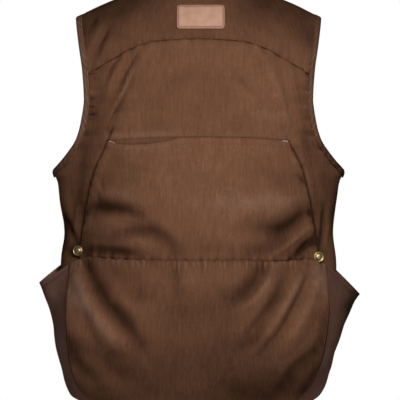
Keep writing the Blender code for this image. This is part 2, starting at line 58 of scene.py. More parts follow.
# height, half width, depth behind, depth in front
rings = (
    (0.02, 0.25, 0.104, 0.098), (-0.1, 0.25, 0.12, 0.114), (-0.2, 0.25, 0.128, 0.128),
    (-0.29, 0.2535, 0.128, 0.132), (-0.325, 0.2555, 0.126, 0.132), (-0.348, 0.248, 0.124, 0.131),
    (-0.376, 0.2445, 0.121, 0.13), (-0.433, 0.2375, 0.118, 0.128), (-0.489, 0.2435, 0.118, 0.128),
    (-0.56, 0.243, 0.119, 0.129), (-0.655, 0.2335, 0.119, 0.13), (-0.765, 0.22, 0.115, 0.13),
)

# distance from the middle, height
shoulderSeam = ((0.0, 0.012), (0.086, 0.0), (0.149, -0.022), (0.2155, -0.054), (0.255, -0.074))
yokeSeam = (
    (0.0, -0.098), (0.058, -0.1012), (0.084, -0.1043), (0.102, -0.1098), (0.122, -0.118), (0.142, -0.1295),
    (0.164, -0.1415), (0.183, -0.1535), (0.202, -0.164),
)
pouchMouth = ((0.0, -0.2685), (0.08, -0.2695), (0.15, -0.2735), (0.21, -0.28))
waistSeam = ((0.0, -0.479), (0.11, -0.4775), (0.19, -0.474), (0.2235, -0.485), (0.245, -0.49))
underarmRow = ((0.0, form["underarm"]), (0.26, form["underarm"]))
tailRow = ((0.0, -0.765), (0.08, -0.763), (0.12, -0.757), (0.155, -0.745))

# height, distance from the middle
backArmhole = (
    (-0.054, 0.2155), (-0.107, 0.2074), (-0.156, 0.2), (-0.199, 0.1972), (-0.24, 0.2026), (-0.268, 0.2103),
    (-0.295, 0.227), (-0.309, 0.2387), (-0.325, 0.2555),
)
frontArmhole = (
    (-0.054, 0.2155), (-0.107, 0.201), (-0.156, 0.19), (-0.199, 0.187), (-0.24, 0.193), (-0.268, 0.204),
    (-0.295, 0.224), (-0.309, 0.238), (-0.325, 0.2555),
)
tailEdge = (
    (-0.66, 0.2329), (-0.685, 0.227), (-0.705, 0.218), (-0.722, 0.203), (-0.735, 0.182), (-0.745, 0.155),
)
pouchSeam = (
    (-0.098, 0.118), (-0.236, 0.143), (-0.266, 0.152), (-0.293, 0.164), (-0.325, 0.179), (-0.402, 0.197),
    (-0.47, 0.208),
)


# Smooth curve through a table's points: a cubic between each pair, whose harmonic slopes never overshoot
def curve(points, at):
    xs, ys = (np.array(values, float) for values in zip(*sorted(points)))
    steps = np.diff(xs)
    slopes = np.diff(ys) / steps
    product = slopes[:-1] * slopes[1:]
    total = np.where(product > 0, slopes[:-1] + slopes[1:], 1.0)
    tangents = np.concatenate([slopes[:1], np.where(product > 0, 2 * product / total, 0.0), slopes[-1:]])
    at = np.clip(at, xs[0], xs[-1])
    i = np.clip(np.searchsorted(xs, at) - 1, 0, len(steps) - 1)
    step = steps[i]
    t = (at - xs[i]) / step
    start = ys[i] * (1 + 2 * t) + tangents[i] * step * t
    end = ys[i + 1] * (3 - 2 * t) - tangents[i + 1] * step * (1 - t)
    return start * (1 - t) ** 2 + end * t**2


# One column of the rings, read at any height
def ringSize(column, height):
    return curve([(row[0], row[column]) for row in rings], height)


# Sine and cosine of a superellipse: the plain ones divided by the power mean of their sizes
def superWave(angle, power):
    sine, cosine = np.sin(angle), np.cos(angle)
    size = (np.abs(sine) ** power + np.abs(cosine) ** power) ** (-1 / power)
    return sine * size, cosine * size


# A point of the worn cloth: a superellipse ring by angle, and below level 0 by metres under the
# shoulder start; from 0 to 1 a second superellipse rounds the ring over to the shoulder seam
def shellPoint(angle, level, front=False):
    across, away = superWave(angle, form["ringPower"])
    up, flat = superWave(np.clip(level, 0, 1) * math.pi / 2, form["shoulderPower"])
    low = form["shoulderStart"] + np.minimum(level, 0)
    x = ringSize(1, low) * across
    z = low + (curve(shoulderSeam, np.abs(x)) - form["shoulderStart"]) * up
    y = ringSize(3 if front else 2, z) * np.abs(away) * flat + form["halfSeam"]
    return np.stack([x, y if front else -y, z], -1)


# Angle and level of the point that is seen at x and z: the two superellipses solved backwards
def locate(x, z):
    x, z = np.broadcast_arrays(np.asarray(x, float), np.asarray(z, float))
    start, power, ringPower = form["shoulderStart"], form["shoulderPower"], form["ringPower"]
    rise = np.clip((z - start) / (curve(shoulderSeam, np.abs(x)) - start), 0, 1)
    level = np.where(z > start, np.arctan2(rise, (1 - rise**power) ** (1 / power)) * 2 / math.pi, z - start)
    share = np.clip(np.abs(x) / ringSize(1, np.minimum(z, start)), 0, 1)
    return np.arctan2(share, (1 - share**ringPower) ** (1 / ringPower)) * np.sign(x), level


def pointAt(x, z, front=False):  # the point of the cloth that is seen at x and z
    return shellPoint(*locate(x, z), front)


def edgeAngle(z, armhole=backArmhole):  # the armhole, then the side seam, then the rounded tail
    angle = np.where(z > form["underarm"], locate(curve(armhole, z), np.minimum(z, 0))[0], math.pi / 2)
    return np.where(z < form["tailStart"], locate(curve(tailEdge, z), z)[0], angle)


# Unit vectors, never divided by zero
def unit(vectors):
    return vectors / np.maximum(np.linalg.norm(vectors, axis=-1, keepdims=True), 1e-12)


# Unit normals of a grid: its downward step crossed with its step to the right
def normalsOf(grid):
    return unit(np.cross(np.gradient(grid, axis=0), np.gradient(grid, axis=1)))


def movedOut(grid, distance):  # each point along its normal
    return grid + normalsOf(grid) * np.asarray(distance)[..., None]


# Distance along the rows and down the columns of a grid, each added up from its middle or top, in metres
def clothMeasure(grid):
    across = np.linalg.norm(np.diff(grid, axis=1), axis=-1).cumsum(axis=1)
    down = np.linalg.norm(np.diff(grid, axis=0), axis=-1).cumsum(axis=0)
    u = np.concatenate([np.zeros((len(grid), 1)), across], 1)
    v = np.concatenate([np.zeros((1, grid.shape[1])), down], 0)
    return u - u[:, u.shape[1] // 2 : u.shape[1] // 2 + 1], v


# The weave's run on the cloth: across, the length from the vest's middle; down, the length along the
# middle column, read at each point's height where the cloth hangs upright
def clothGrain(grid, upright=True):
    u, v = clothMeasure(grid)
    middle = int(np.argmin(np.abs(grid[..., 0]).mean(axis=0)))
    across = u - u[:, middle : middle + 1] + grid[:, middle : middle + 1, 0]
    rising = np.argsort(grid[:, middle, 2])
    down = np.interp(grid[..., 2], grid[rising, middle, 2], v[rising, middle]) if upright else v
    return across, down


def bell(distance, width):  # 1 on the line, fading to 0 on both sides of it
    return np.exp(-((distance / width) ** 2))


def ramp(distance, width):  # 0 at the line, 1 beyond the width, smoothly
    t = np.clip(distance / width, 0, 1)
    return t * t * (3 - 2 * t)


# The photograph is read as a plane 1.72 mm a pixel, with the vest's middle at pixel 198.5 across
photo = {"metresPerPixel": 0.00172, "middleX": 198.5, "centreRow": 200.0, "centreZ": -0.376}


def photoPoint(px, py):  # x and z of a pixel
    size = photo["metresPerPixel"]
    return (px - photo["middleX"]) * size, photo["centreZ"] - (py - photo["centreRow"]) * size


# Soft folds, in mm: each one's height fades as a bell with the distance to its path and tapers over
# both ends. Its width is one number, or one for the right and one for the left of the way it runs
def foldField(strokes, x, z, unitSize=0.001):
    total = np.zeros(np.broadcast(x, z).shape)
    for path, width, height in strokes:
        right, left = np.broadcast_to(width, 2) * 0.001
        points = np.stack(photoPoint(*np.reshape(path, (-1, 2)).T), -1)
        nearest, signed, along, reached = np.full(total.shape, 1e9), 0, 0, 0.0
        for start, step in zip(points, np.diff(points, axis=0)):
            length = np.hypot(*step)
            run, drop = step / length
            share = np.clip((x - start[0]) * run + (z - start[1]) * drop, 0, length)
            dx, dz = x - start[0] - share * run, z - start[1] - share * drop
            away = np.hypot(dx, dz)
            closer = away < nearest
            nearest = np.where(closer, away, nearest)
            signed = np.where(closer, dx * drop - dz * run, signed)
            along = np.where(closer, reached + share, along)
            reached += length
        taper = np.sin(math.pi * np.clip(along / reached, 0.06, 0.94)) ** 0.6
        total += height * unitSize * taper * bell(nearest, np.where(signed > 0, right, left))
    return total


# Painted light and shade along strokes, without any change to the cloth's form
def paintedShadingField(strokes, x, z):  # the same field, where the last number is the shade itself
    return foldField(strokes, x, z, 1)


# Fold strokes: the path's x, y, x, y in photograph pixels, its width in mm, its height in mm
backStrokes = (
    ((142, 47, 136, 57, 129, 69, 120, 85, 115, 94, 110, 104), (3.5, 7), -3),
    ((133, 77, 129, 88, 124, 96, 119, 105, 111, 119, 107, 131), (3.5, 5), -2.6),
    ((130, 74, 123, 90, 116, 104, 110, 118, 105, 132), (4, 3), 1.5),
    ((150, 46, 143, 58, 136, 72), (9, 8), 1.4), ((119, 57, 113, 65, 109, 73, 105, 82), (3.5, 6), -2.4),
    ((124, 56, 116, 70, 110, 84, 106, 98), 5, 1.8), ((110, 24, 105, 36, 99, 45, 94, 56), (3.5, 8), -2.2),
    ((97, 16, 91, 25, 87, 34), (5, 8), -2), ((104, 18, 97, 32, 91, 46), (6, 4), 1.8),
    ((96, 66, 92, 84, 91, 100), (6, 8), 1.2),
    ((266, 57, 272, 70, 277, 85, 281, 98, 284, 112, 286, 130), (12, 6), 4.4),
    ((228, 67, 247, 87, 261, 101, 277, 117), (3.5, 6), -1.8),
    ((291, 66, 296, 90, 297, 115, 294, 134), 8, -2.2), ((142, 106, 141, 120, 143, 134), 4, -0.7),
    ((160, 106, 161, 120, 161, 134), 4, -0.7), ((181, 108, 180, 120, 181, 134), 4, -0.7),
    ((199, 112, 198, 134), 4, -0.6), ((222, 108, 221, 134), 5, -0.5), ((250, 112, 252, 134), 5, -0.5),
    ((62, 218, 68, 230, 75, 243), (4, 6), -3.6), ((66, 180, 70, 200, 70, 222), (7, 8), -1.6),
    ((79, 196, 74, 220, 72, 240), (4, 5), 1.8), ((325, 204, 325, 226, 323, 246), (4, 5), -3),
    ((331, 205, 330, 228, 325, 250), 5, 2.4), ((314, 170, 321, 190, 326, 208), 6, 1.6),
)
pouchStrokes = (
    ((80, 207, 98, 206, 120, 207, 142, 213), (9, 12), -5.6),
    ((96, 222, 112, 219, 130, 216, 150, 220), 8, 2.6),
    ((117, 234, 138, 229, 156, 231, 168, 238, 178, 252), (11, 10), -4.6),
    ((126, 244, 138, 240, 152, 244), 8, 3.4),
    ((80, 249, 100, 250, 118, 251, 134, 252, 150, 254), (8, 7), -4.6),
    ((92, 170, 98, 179, 104, 190), (5, 6), -2.4), ((90, 186, 96, 193, 99, 202), 5, -2),
    ((291, 162, 297, 174, 304, 190), (5, 7), -2.4),
    ((312, 209, 298, 218, 286, 226, 272, 231, 256, 230), 11, -5.2),
    ((314, 225, 298, 235, 281, 246, 268, 254), 6, 3.4),
    ((320, 233, 312, 240, 300, 248, 289, 257), (6, 7), -5.4), ((300, 252, 308, 249), 5, 1.8),
    ((180, 196, 210, 200, 240, 196), 20, 1.6), ((150, 152, 180, 160, 214, 158), 18, 1),
)
bagStrokes = (
    ((72, 242, 82, 262, 93, 279, 106, 300, 124, 321, 141, 340), 14, -11),
    ((76, 262, 80, 280, 88, 298, 103, 322, 122, 342), 12, 5),
    ((109, 270, 119, 286, 133, 304, 147, 318), (12, 16), 3.2),
    ((74, 308, 84, 318, 92, 330, 100, 343, 112, 352, 136, 360), (11, 12), -5.4),
    ((66, 344, 80, 363, 103, 386), (11, 14), -7), ((120, 292, 136, 297, 152, 292), 9, -2.2),
    ((263, 260, 257, 276, 247, 289, 228, 296), (12, 13), -7.8),
    ((273, 262, 266, 280, 252, 298, 236, 309), 8, 5.2),
    ((287, 264, 282, 281, 275, 294, 267, 307, 256, 322, 238, 341), (9, 12), -8.6),
    ((304, 264, 295, 283, 285, 300, 276, 316, 251, 348), 8, 4.8),
    ((312, 262, 307, 277, 302, 289, 295, 302, 289, 314, 280, 328, 259, 352), (7, 11), -7.8),
    ((320, 272, 313, 292, 305, 307, 294, 327, 280, 348), (12, 10), 5),
    ((324, 302, 316, 318, 306, 336, 292, 352), 9, -3.6),
    ((322, 342, 306, 356, 292, 368, 280, 384), (12, 14), -8), ((160, 326, 200, 340, 250, 336), (30, 34), 2),
)

# Painted light and shade strokes in the same form: below zero the last number paints shade, above zero a
# highlight
backPaintedShading = (
    ((90, 74, 96, 73), 2, -0.6), ((89, 99, 95, 98), 2, -0.5), ((88, 106, 95, 107), 2, -0.7),
    ((88, 114, 96, 114), 2, -0.7), ((141, 47, 136, 57, 129, 69, 120, 85), 1.8, -0.45),
    ((133, 77, 124, 96, 111, 119, 107, 131), 1.6, -0.4), ((119, 57, 113, 65, 109, 73), 1.8, -0.4),
    ((98, 68, 98, 95, 95, 125, 86, 155, 76, 190), (22, 28), -0.42),
    ((300, 75, 303, 110, 308, 140, 322, 170), (14, 22), -0.36),
    ((306, 170, 318, 205, 326, 246), (14, 28), -0.5), ((86, 136, 83, 165, 80, 202), 11, -0.42),
    ((116, 126, 107, 145, 97, 166, 92, 190), 6, 0.6), ((61, 208, 61, 232, 60, 256), 10, -0.8),
    ((64, 249, 75, 252, 90, 252), 10, -0.7), ((343, 176, 341, 205, 338, 232), 10, -0.85),
    ((326, 146, 328, 182, 322, 214), 20, -0.3), ((303, 132, 308, 160, 314, 192), 8, -0.32),
    ((108, 137, 150, 135, 190, 134), 6, 0.45), ((90, 78, 98, 78), 5, -0.4), ((81, 184, 79, 222), 9, -0.6),
    ((78, 244, 78, 260), 14, -0.5), ((319, 248, 319, 264), 14, -0.4), ((320, 236, 314, 252), 9, -0.5),
    ((320, 210, 320, 230), 8, 0.45), ((304, 162, 309, 182, 312, 202), 6, 0.6),
    ((287, 62, 293, 90, 297, 125), 8, 0.4), ((137, 60, 126, 85, 118, 108), 4, 0.45),
    ((256, 85, 263, 130), 28, 0.3), ((60, 95, 200, 95, 340, 95), 58, -0.14),
    ((62, 214, 68, 230, 77, 247), (5, 6), -0.55), ((324, 205, 322, 228, 321, 246), (3, 4), -0.35),
)
yokePaintedShading = (
    ((60, 30, 200, 34, 340, 30), 60, -0.22), ((80, 40, 98, 16, 128, 2), (26, 42), -0.5),
    ((320, 40, 302, 14, 276, 0), (34, 30), -0.42), ((110, 24, 105, 36, 99, 45), 1.8, -0.35),
    ((97, 14, 90, 26), 4, -0.3), ((108, 0, 134, 4, 160, 12), 34, -0.3),
    ((230, 2, 262, 5, 292, 14), 36, -0.36), ((100, 18, 94, 31, 89, 46), 6, 0.4),
    ((108, 32, 101, 45, 95, 60), 6, -0.35), ((312, 26, 310, 50), 13, -0.25),
    ((74, 12, 78, 24, 82, 40), 12, -0.35), ((116, 26, 120, 44), 14, -0.25), ((112, -8, 170, -8), 30, -0.26),
    ((226, -8, 284, -8), 30, -0.24), ((322, 18, 320, 40), 8, -0.35),
)
pouchPaintedShading = (
    ((60, 252, 82, 251, 100, 250, 118, 252, 136, 254, 156, 257), 11, -0.54),
    ((116, 235, 136, 230, 155, 231, 167, 238, 174, 252), (13, 11), -0.42),
    ((318, 203, 302, 212, 288, 220, 274, 224, 262, 223, 250, 220), (16, 18), -0.7),
    ((322, 230, 312, 240, 300, 248, 286, 258), 9, -0.8),
    ((314, 225, 298, 235, 281, 246, 268, 254), 3, 0.25),
    ((78, 209, 94, 208, 112, 208, 130, 209, 152, 219), (13, 14), -0.66),
    ((134, 209, 150, 219, 166, 229, 180, 242), 8, -0.18), ((300, 176, 305, 184), 4, -0.7),
    ((308, 208, 314, 218), 6, -0.9), ((78, 220, 88, 209), 6, -0.7), ((76, 228, 84, 221), 4, -0.6),
    ((94, 176, 90, 214), (12, 10), -0.24), ((83, 234, 86, 264), 10, -0.45),
    ((114, 247, 128, 250, 142, 255), 9, -0.3), ((182, 250, 220, 250, 254, 248), 13, -0.26),
    ((276, 202, 298, 198), 8, 0.4), ((112, 222, 126, 224, 140, 224), 7, 0.35),
    ((104, 144, 140, 143, 185, 141), 9, 0.35), ((320, 232, 313, 248), 12, -0.5),
    ((102, 190, 118, 192, 138, 198), 9, 0.34), ((86, 220, 87, 236, 90, 246), (10, 9), -0.4),
    ((92, 234, 110, 238, 126, 240), 9, -0.28), ((160, 240, 170, 246, 176, 259), 14, -0.16),
    ((180, 238, 184, 258), 14, -0.25), ((256, 238, 272, 243, 290, 244), 24, -0.56),
    ((238, 253, 250, 251, 262, 247), 12, -0.42), ((128, 166, 152, 168), 14, -0.2),
    ((250, 156, 268, 172, 286, 192), 13, -0.16), ((295, 166, 299, 178, 304, 200), 7, -0.24),
    ((104, 150, 97, 190, 90, 235), (16, 26), -0.2), ((206, 204, 245, 202, 290, 198), 18, 0.45),
)
bagPaintedShading = (
    ((140, 300, 205, 314, 262, 304), (55, 62), -0.5), ((100, 368, 200, 376, 306, 364), (66, 60), -0.64),
    ((72, 256, 76, 288, 92, 316, 112, 336), (18, 14), 0.95), ((320, 258, 322, 296), (18, 14), 0.75),
    ((304, 267, 295, 283, 285, 300, 276, 316), 6, 0.4), ((263, 256, 251, 276, 232, 294), 12, -0.5),
    ((284, 268, 277, 290, 262, 312), 11, -0.35), ((265, 322, 253, 337), 9, -0.35),
    ((122, 302, 133, 320, 143, 340), 8, -0.32), ((176, 260, 178, 290), 9, -0.3),
    ((140, 268, 142, 292), 12, -0.22), ((84, 248, 90, 272), 10, -0.5), ((68, 344, 78, 370), 13, -0.3),
    ((336, 330, 327, 358, 312, 386, 298, 408), 16, -0.58), ((222, 388, 250, 374), 22, -0.22),
    ((106, 264, 118, 276, 138, 290), (24, 22), -0.32), ((67, 324, 69, 340, 74, 356), 10, -0.62),
    ((78, 302, 88, 318, 98, 338), 12, -0.35), ((100, 352, 118, 363, 138, 372), 18, -0.45),
    ((70, 362, 84, 384, 98, 398), (16, 20), -0.35), ((224, 404, 262, 394, 300, 380, 322, 352), 30, -0.52),
    ((298, 404, 312, 386, 322, 364), 14, -0.45), ((62, 328, 84, 344, 106, 353), 14, -0.35),
    ((84, 388, 112, 397, 140, 398), 20, -0.32), ((260, 256, 268, 274), 10, -0.36),
    ((264, 340, 250, 338, 234, 346), 12, -0.35), ((326, 298, 323, 322, 316, 348), 12, -0.6),
    ((188, 262, 193, 282), 12, 0.3), ((172, 374, 210, 376), 24, 0.25),
    ((273, 264, 266, 281, 252, 298), 8, 0.4),
    ((78, 240, 88, 262, 95, 279, 107, 299, 125, 320, 142, 340), 12, -0.36),
    ((68, 344, 80, 363, 103, 386), (9, 12), -0.15),
    ((322, 342, 306, 356, 292, 368, 280, 384), (10, 12), -0.12),
)
gussetPaintedShading = (
    ((334, 250, 342, 280, 346, 300), 22, -0.3), ((364, 280, 362, 306, 350, 346), 16, -0.85),
    ((357, 278, 354, 338), 20, -0.8), ((53, 290, 52, 314), 12, 0.5), ((48, 314, 50, 334), 7, -0.45),
    ((62, 318, 62, 345, 70, 372), 22, 0.6), ((331, 330, 328, 352, 322, 378), 18, 0.4),
    ((34, 282, 42, 298), 10, -0.5),
)


# Rows between key seams: a row's height is blended from the seam above it to the seam below it, read
# where each column stands, and its angles run evenly between the edges averaged over some rows; only
# the outermost columns bend to the real edge, so a sharp corner doesn't shear the rest
def backPatch(keys, counts, across, edge, rounds=14, calmed=9, bend=8):
    segment = np.concatenate([k + np.arange(n) / n for k, n in enumerate(counts)] + [[len(counts)]])[:, None]
    x = np.linspace(-0.2, 0.2, across)[None] * np.ones((len(segment), 1))
    low = np.minimum(segment.astype(int), len(counts) - 1)
    index, share = (low * np.ones(x.shape, int))[None], np.linspace(0, 1, across)[None]
    for _ in range(rounds):
        heights = np.stack([curve(key, np.abs(x)) for key in keys])
        upper, lower = (np.take_along_axis(heights, index + k, 0)[0] for k in (0, 1))
        z = upper + (lower - upper) * (segment - low)
        edges = np.concatenate([-edge(z[:, :1]), edge(z[:, -1:])], axis=1)
        padded = np.pad(edges, ((calmed, calmed), (0, 0)), "edge")
        calm = sum(padded[k : k + len(edges)] for k in range(2 * calmed + 1)) / (2 * calmed + 1)
        rest = edges - calm
        angle = calm[:, :1] + (calm[:, 1:] - calm[:, :1]) * share
        angle = angle + rest[:, :1] * (1 - share) ** bend + rest[:, 1:] * share**bend
        x = ringSize(1, np.minimum(z, form["shoulderStart"])) * superWave(angle, form["ringPower"])[0]
    return angle, locate(x, z)[1]


# Smooth seeded waver along a line: cosines of four wavelengths round the given one, with random phases
def waver(along, wavelength, seed):
    draw = np.random.default_rng(seed)
    total = np.zeros(np.shape(along))
    for _ in range(4):
        length = wavelength * draw.uniform(0.62, 1.7)
        total += np.cos(2 * math.pi * along / length + draw.uniform(0, 2 * math.pi))
    return total / 2


# Gentle seeded unevenness over a surface: ten plane waves of random direction and length
def ripple(u, v, wavelength, seed):
    draw = np.random.default_rng(seed)
    total = np.zeros(np.broadcast(u, v).shape)
    for _ in range(10):
        turn, length = draw.uniform(0, math.pi), wavelength * draw.uniform(0.6, 1.8)
        along = u * math.cos(turn) + v * math.sin(turn)
        total += np.cos(2 * math.pi * along / length + draw.uniform(0, 6.28))
    return total / 4.5


# Puckers beside a seam: the waver along it, fading away from it within a reach that wavers too
def puckers(along, away, wavelength, reach, height, seed):
    wave = waver(along, wavelength, seed)
    lean = waver(along, wavelength * 3.1, seed + 1)
    return height * wave * np.exp(-np.abs(away) / (reach * (1 + 0.35 * lean)))


# A panel's mesh: the outer grid, the same grid moved in by the cloth's thickness, and a half-round rim
def panelMesh(name, grid, material, shade, uv, thickness=cloth["thickness"]):
    rows, columns = grid.shape[:2]
    index = np.arange(rows * columns).reshape(rows, columns)
    loop = np.concatenate([index[0, :-1], index[:-1, -1], index[-1, :0:-1], index[:0:-1, 0]])
    inside = np.clip(loop // columns, 1, rows - 2) * columns + np.clip(loop % columns, 1, columns - 2)
    flat, normal = grid.reshape(-1, 3), normalsOf(grid).reshape(-1, 3)
    outward = unit(flat[loop] - flat[inside])
    layers = [flat, flat - normal * thickness]
    for turn in (0.7, math.pi / 2, math.pi - 0.7):
        rim = normal[loop] * (math.cos(turn) - 1) + outward * math.sin(turn)
        layers.append(flat[loop] + rim * thickness / 2)
    count, ring = index.size, len(loop)
    chain = [loop, *(2 * count + ring * k + np.arange(ring) for k in range(3)), loop + count]
    outer = np.stack([index[:-1, :-1], index[1:, :-1], index[1:, 1:], index[:-1, 1:]], -1).reshape(-1, 4)
    faces = [outer, outer[:, ::-1] + count]
    faces += [np.stack([a, np.roll(a, -1), np.roll(b, -1), b], -1) for a, b in zip(chain[:-1], chain[1:])]
    values = np.stack([*uv, np.broadcast_to(shade, (rows, columns))], -1).reshape(-1, 3)
    values = np.concatenate([values, values, *[values[loop]] * 3])
    return makeMesh(name, np.concatenate(layers), np.concatenate(faces).tolist(), material, values), grid


# Links a new object to the scene, at the origin
def addObject(name, data):
    made = bpy.data.objects.new(name, data)
    bpy.context.scene.collection.objects.link(made)
    return made


# One object from points and lists of face corners; the values hold each point's map and its shade
def makeMesh(name, points, faces, material, values=None):
    mesh = bpy.data.meshes.new(name)
    mesh.from_pydata(points.tolist(), [], faces)
    mesh.shade_smooth()
    if values is not None:
        values = values.astype(np.float32)
        mesh.uv_layers.new(name="clothMap").data.foreach_set("uv", values[np.ravel(faces), :2].ravel())
        mesh.attributes.new("shade", "FLOAT", "POINT").data.foreach_set("value", values[:, 2].copy())
    mesh.materials.append(material)
    return addObject(name, mesh)


# A line at a fixed distance inside one edge of a grid: the grid is turned so that this edge is its first
# row, and points and normals are read between its rows; trim leaves out that many points at both ends
def insetLine(grid, edge, distance, trim):
    turned = []
    for field in (grid, normalsOf(grid)):
        field = field if edge in ("top", "bottom") else field.swapaxes(0, 1)
        turned.append((field if edge in ("top", "left") else field[::-1])[:, trim : field.shape[1] - trim])
    row = distance / np.linalg.norm(turned[0][1] - turned[0][0], axis=-1)
    low, k, share = row.astype(int), np.arange(len(row)), (row % 1)[:, None]
    return [field[low, k] * (1 - share) + field[low + 1, k] * share for field in turned]


# Places, directions and normals evenly spaced along a line
def alongLine(line, pitch):
    points, normals = line
    lengths = np.concatenate([[0], np.linalg.norm(np.diff(points, axis=0), axis=1).cumsum()])
    at = np.arange(pitch / 2, lengths[-1], pitch)
    fields = (points, np.gradient(points, axis=0), normals)
    return [np.stack([np.interp(at, lengths, field[:, k]) for k in range(3)], -1) for field in fields]


# Threads: one closed four-sided bead for each place, thick in its middle, lying along its direction
def makeThreads(name, places, directions, normals, material, length, radius):
    along = unit(directions)
    up = unit(normals - along * np.sum(normals * along, axis=1, keepdims=True))
    side, points = np.cross(along, up), []
    for share, size in ((-0.5, 0.45), (-0.28, 1.0), (0.28, 1.0), (0.5, 0.45)):
        for turn in np.arange(0.25, 2, 0.5) * math.pi:
            offset = side * math.cos(turn) + up * math.sin(turn)
            points.append(places + along * share * length + offset * radius * size)
    faces = [[0, 1, 2, 3], [15, 14, 13, 12]]
    for ring in (0, 4, 8):
        faces += [[ring + k, ring + 4 + k, ring + 4 + (k + 1) % 4, ring + (k + 1) % 4] for k in range(4)]
    faces = (np.array(faces) + np.arange(len(places))[:, None, None] * 16).reshape(-1, 4)
    return makeMesh(name, np.stack(points, 1).reshape(-1, 3), faces.tolist(), material)


# One object with a row of stitches on each of its lines, sunk a little in the cloth
def makeStitches(name, lines, material, pitch=0.003, length=0.0022, radius=0.00034):
    rows = zip(*[alongLine(line, pitch) for line in lines])
    places, directions, normals = (np.concatenate(values) for values in rows)
    return makeThreads(name, places + normals * radius * 0.35, directions, normals, material, length, radius)


# A turned piece: a profile of radius and height swept round the z axis, closed at both poles, then set
# on a point with its axis along a direction
def makeTurned(name, profile, point, direction, material, steps=48):
    turn = np.linspace(0, 2 * math.pi, steps, endpoint=False)
    radius, height = np.array(profile[1:-1]).T[..., None]
    rings = np.stack([radius * np.cos(turn), radius * np.sin(turn), height + 0 * turn], -1).reshape(-1, 3)
    points = np.concatenate([rings, [[0, 0, profile[0][1]], [0, 0, profile[-1][1]]]])
    axis = Vector(direction).to_track_quat("Z", "Y").to_matrix()
    index = np.arange(len(rings)).reshape(-1, steps)
    after = np.roll(index, -1, axis=1)
    quads = np.stack([index[:-1], index[1:], after[1:], after[:-1]], -1).reshape(-1, 4)
    top = np.stack([index[0], after[0], np.full(steps, len(rings))], -1)
    low = np.stack([after[-1], index[-1], np.full(steps, len(rings) + 1)], -1)
    faces = quads.tolist() + top.tolist() + low.tolist()
    return makeMesh(name, points @ np.array(axis).T + np.array(point), faces, material)


# Sets a node's inputs by name or number: another node's output is linked, a plain value is set
def feed(tree, node, inputs):
    for key, value in inputs.items():
        if isinstance(value, bpy.types.NodeSocket):
            tree.links.new(value, node.inputs[key])
        else:
            node.inputs[key].default_value = value
    return node


# A shader node with its settings and inputs
def addNode(tree, kind, inputs=(), **settings):
    node = tree.nodes.new("ShaderNode" + kind)
    for key, value in settings.items():
        setattr(node, key, value)
    return feed(tree, node, dict(inputs))


# Maths, mixing, noise, ranges and bumps: the output of one node each
def mathNode(tree, operation, *values):
    return addNode(tree, "Math", enumerate(values), operation=operation).outputs[0]


def mixColour(tree, share, a, b, blend="MIX"):
    return addNode(tree, "Mix", {0: share, 6: a, 7: b}, data_type="RGBA", blend_type=blend).outputs[2]


def gained(tree, colour, gain):  # the colour times a grey value
    grey = addNode(tree, "CombineXYZ", {0: gain, 1: gain, 2: gain}).outputs[0]
    return mixColour(tree, 1.0, colour, grey, "MULTIPLY")


def noise(tree, place, scale, detail=4.0, roughness=0.6):
    inputs = {"Vector": place, "Scale": scale, "Detail": detail, "Roughness": roughness}
    return addNode(tree, "TexNoise", inputs).outputs[0]


def mapRange(tree, value, low, high, toLow, toHigh):
    return addNode(tree, "MapRange", enumerate((value, low, high, toLow, toHigh))).outputs[0]


def bump(tree, height, distance, strength):
    return addNode(tree, "Bump", {"Height": height, "Distance": distance, "Strength": strength}).outputs[0]


def shadeOf(tree):  # the shade written on the mesh
    return addNode(tree, "Attribute", attribute_name="shade").outputs["Fac"]


def objectPlace(tree):  # the point in the object's own coordinates
    return addNode(tree, "TexCoord").outputs["Object"]
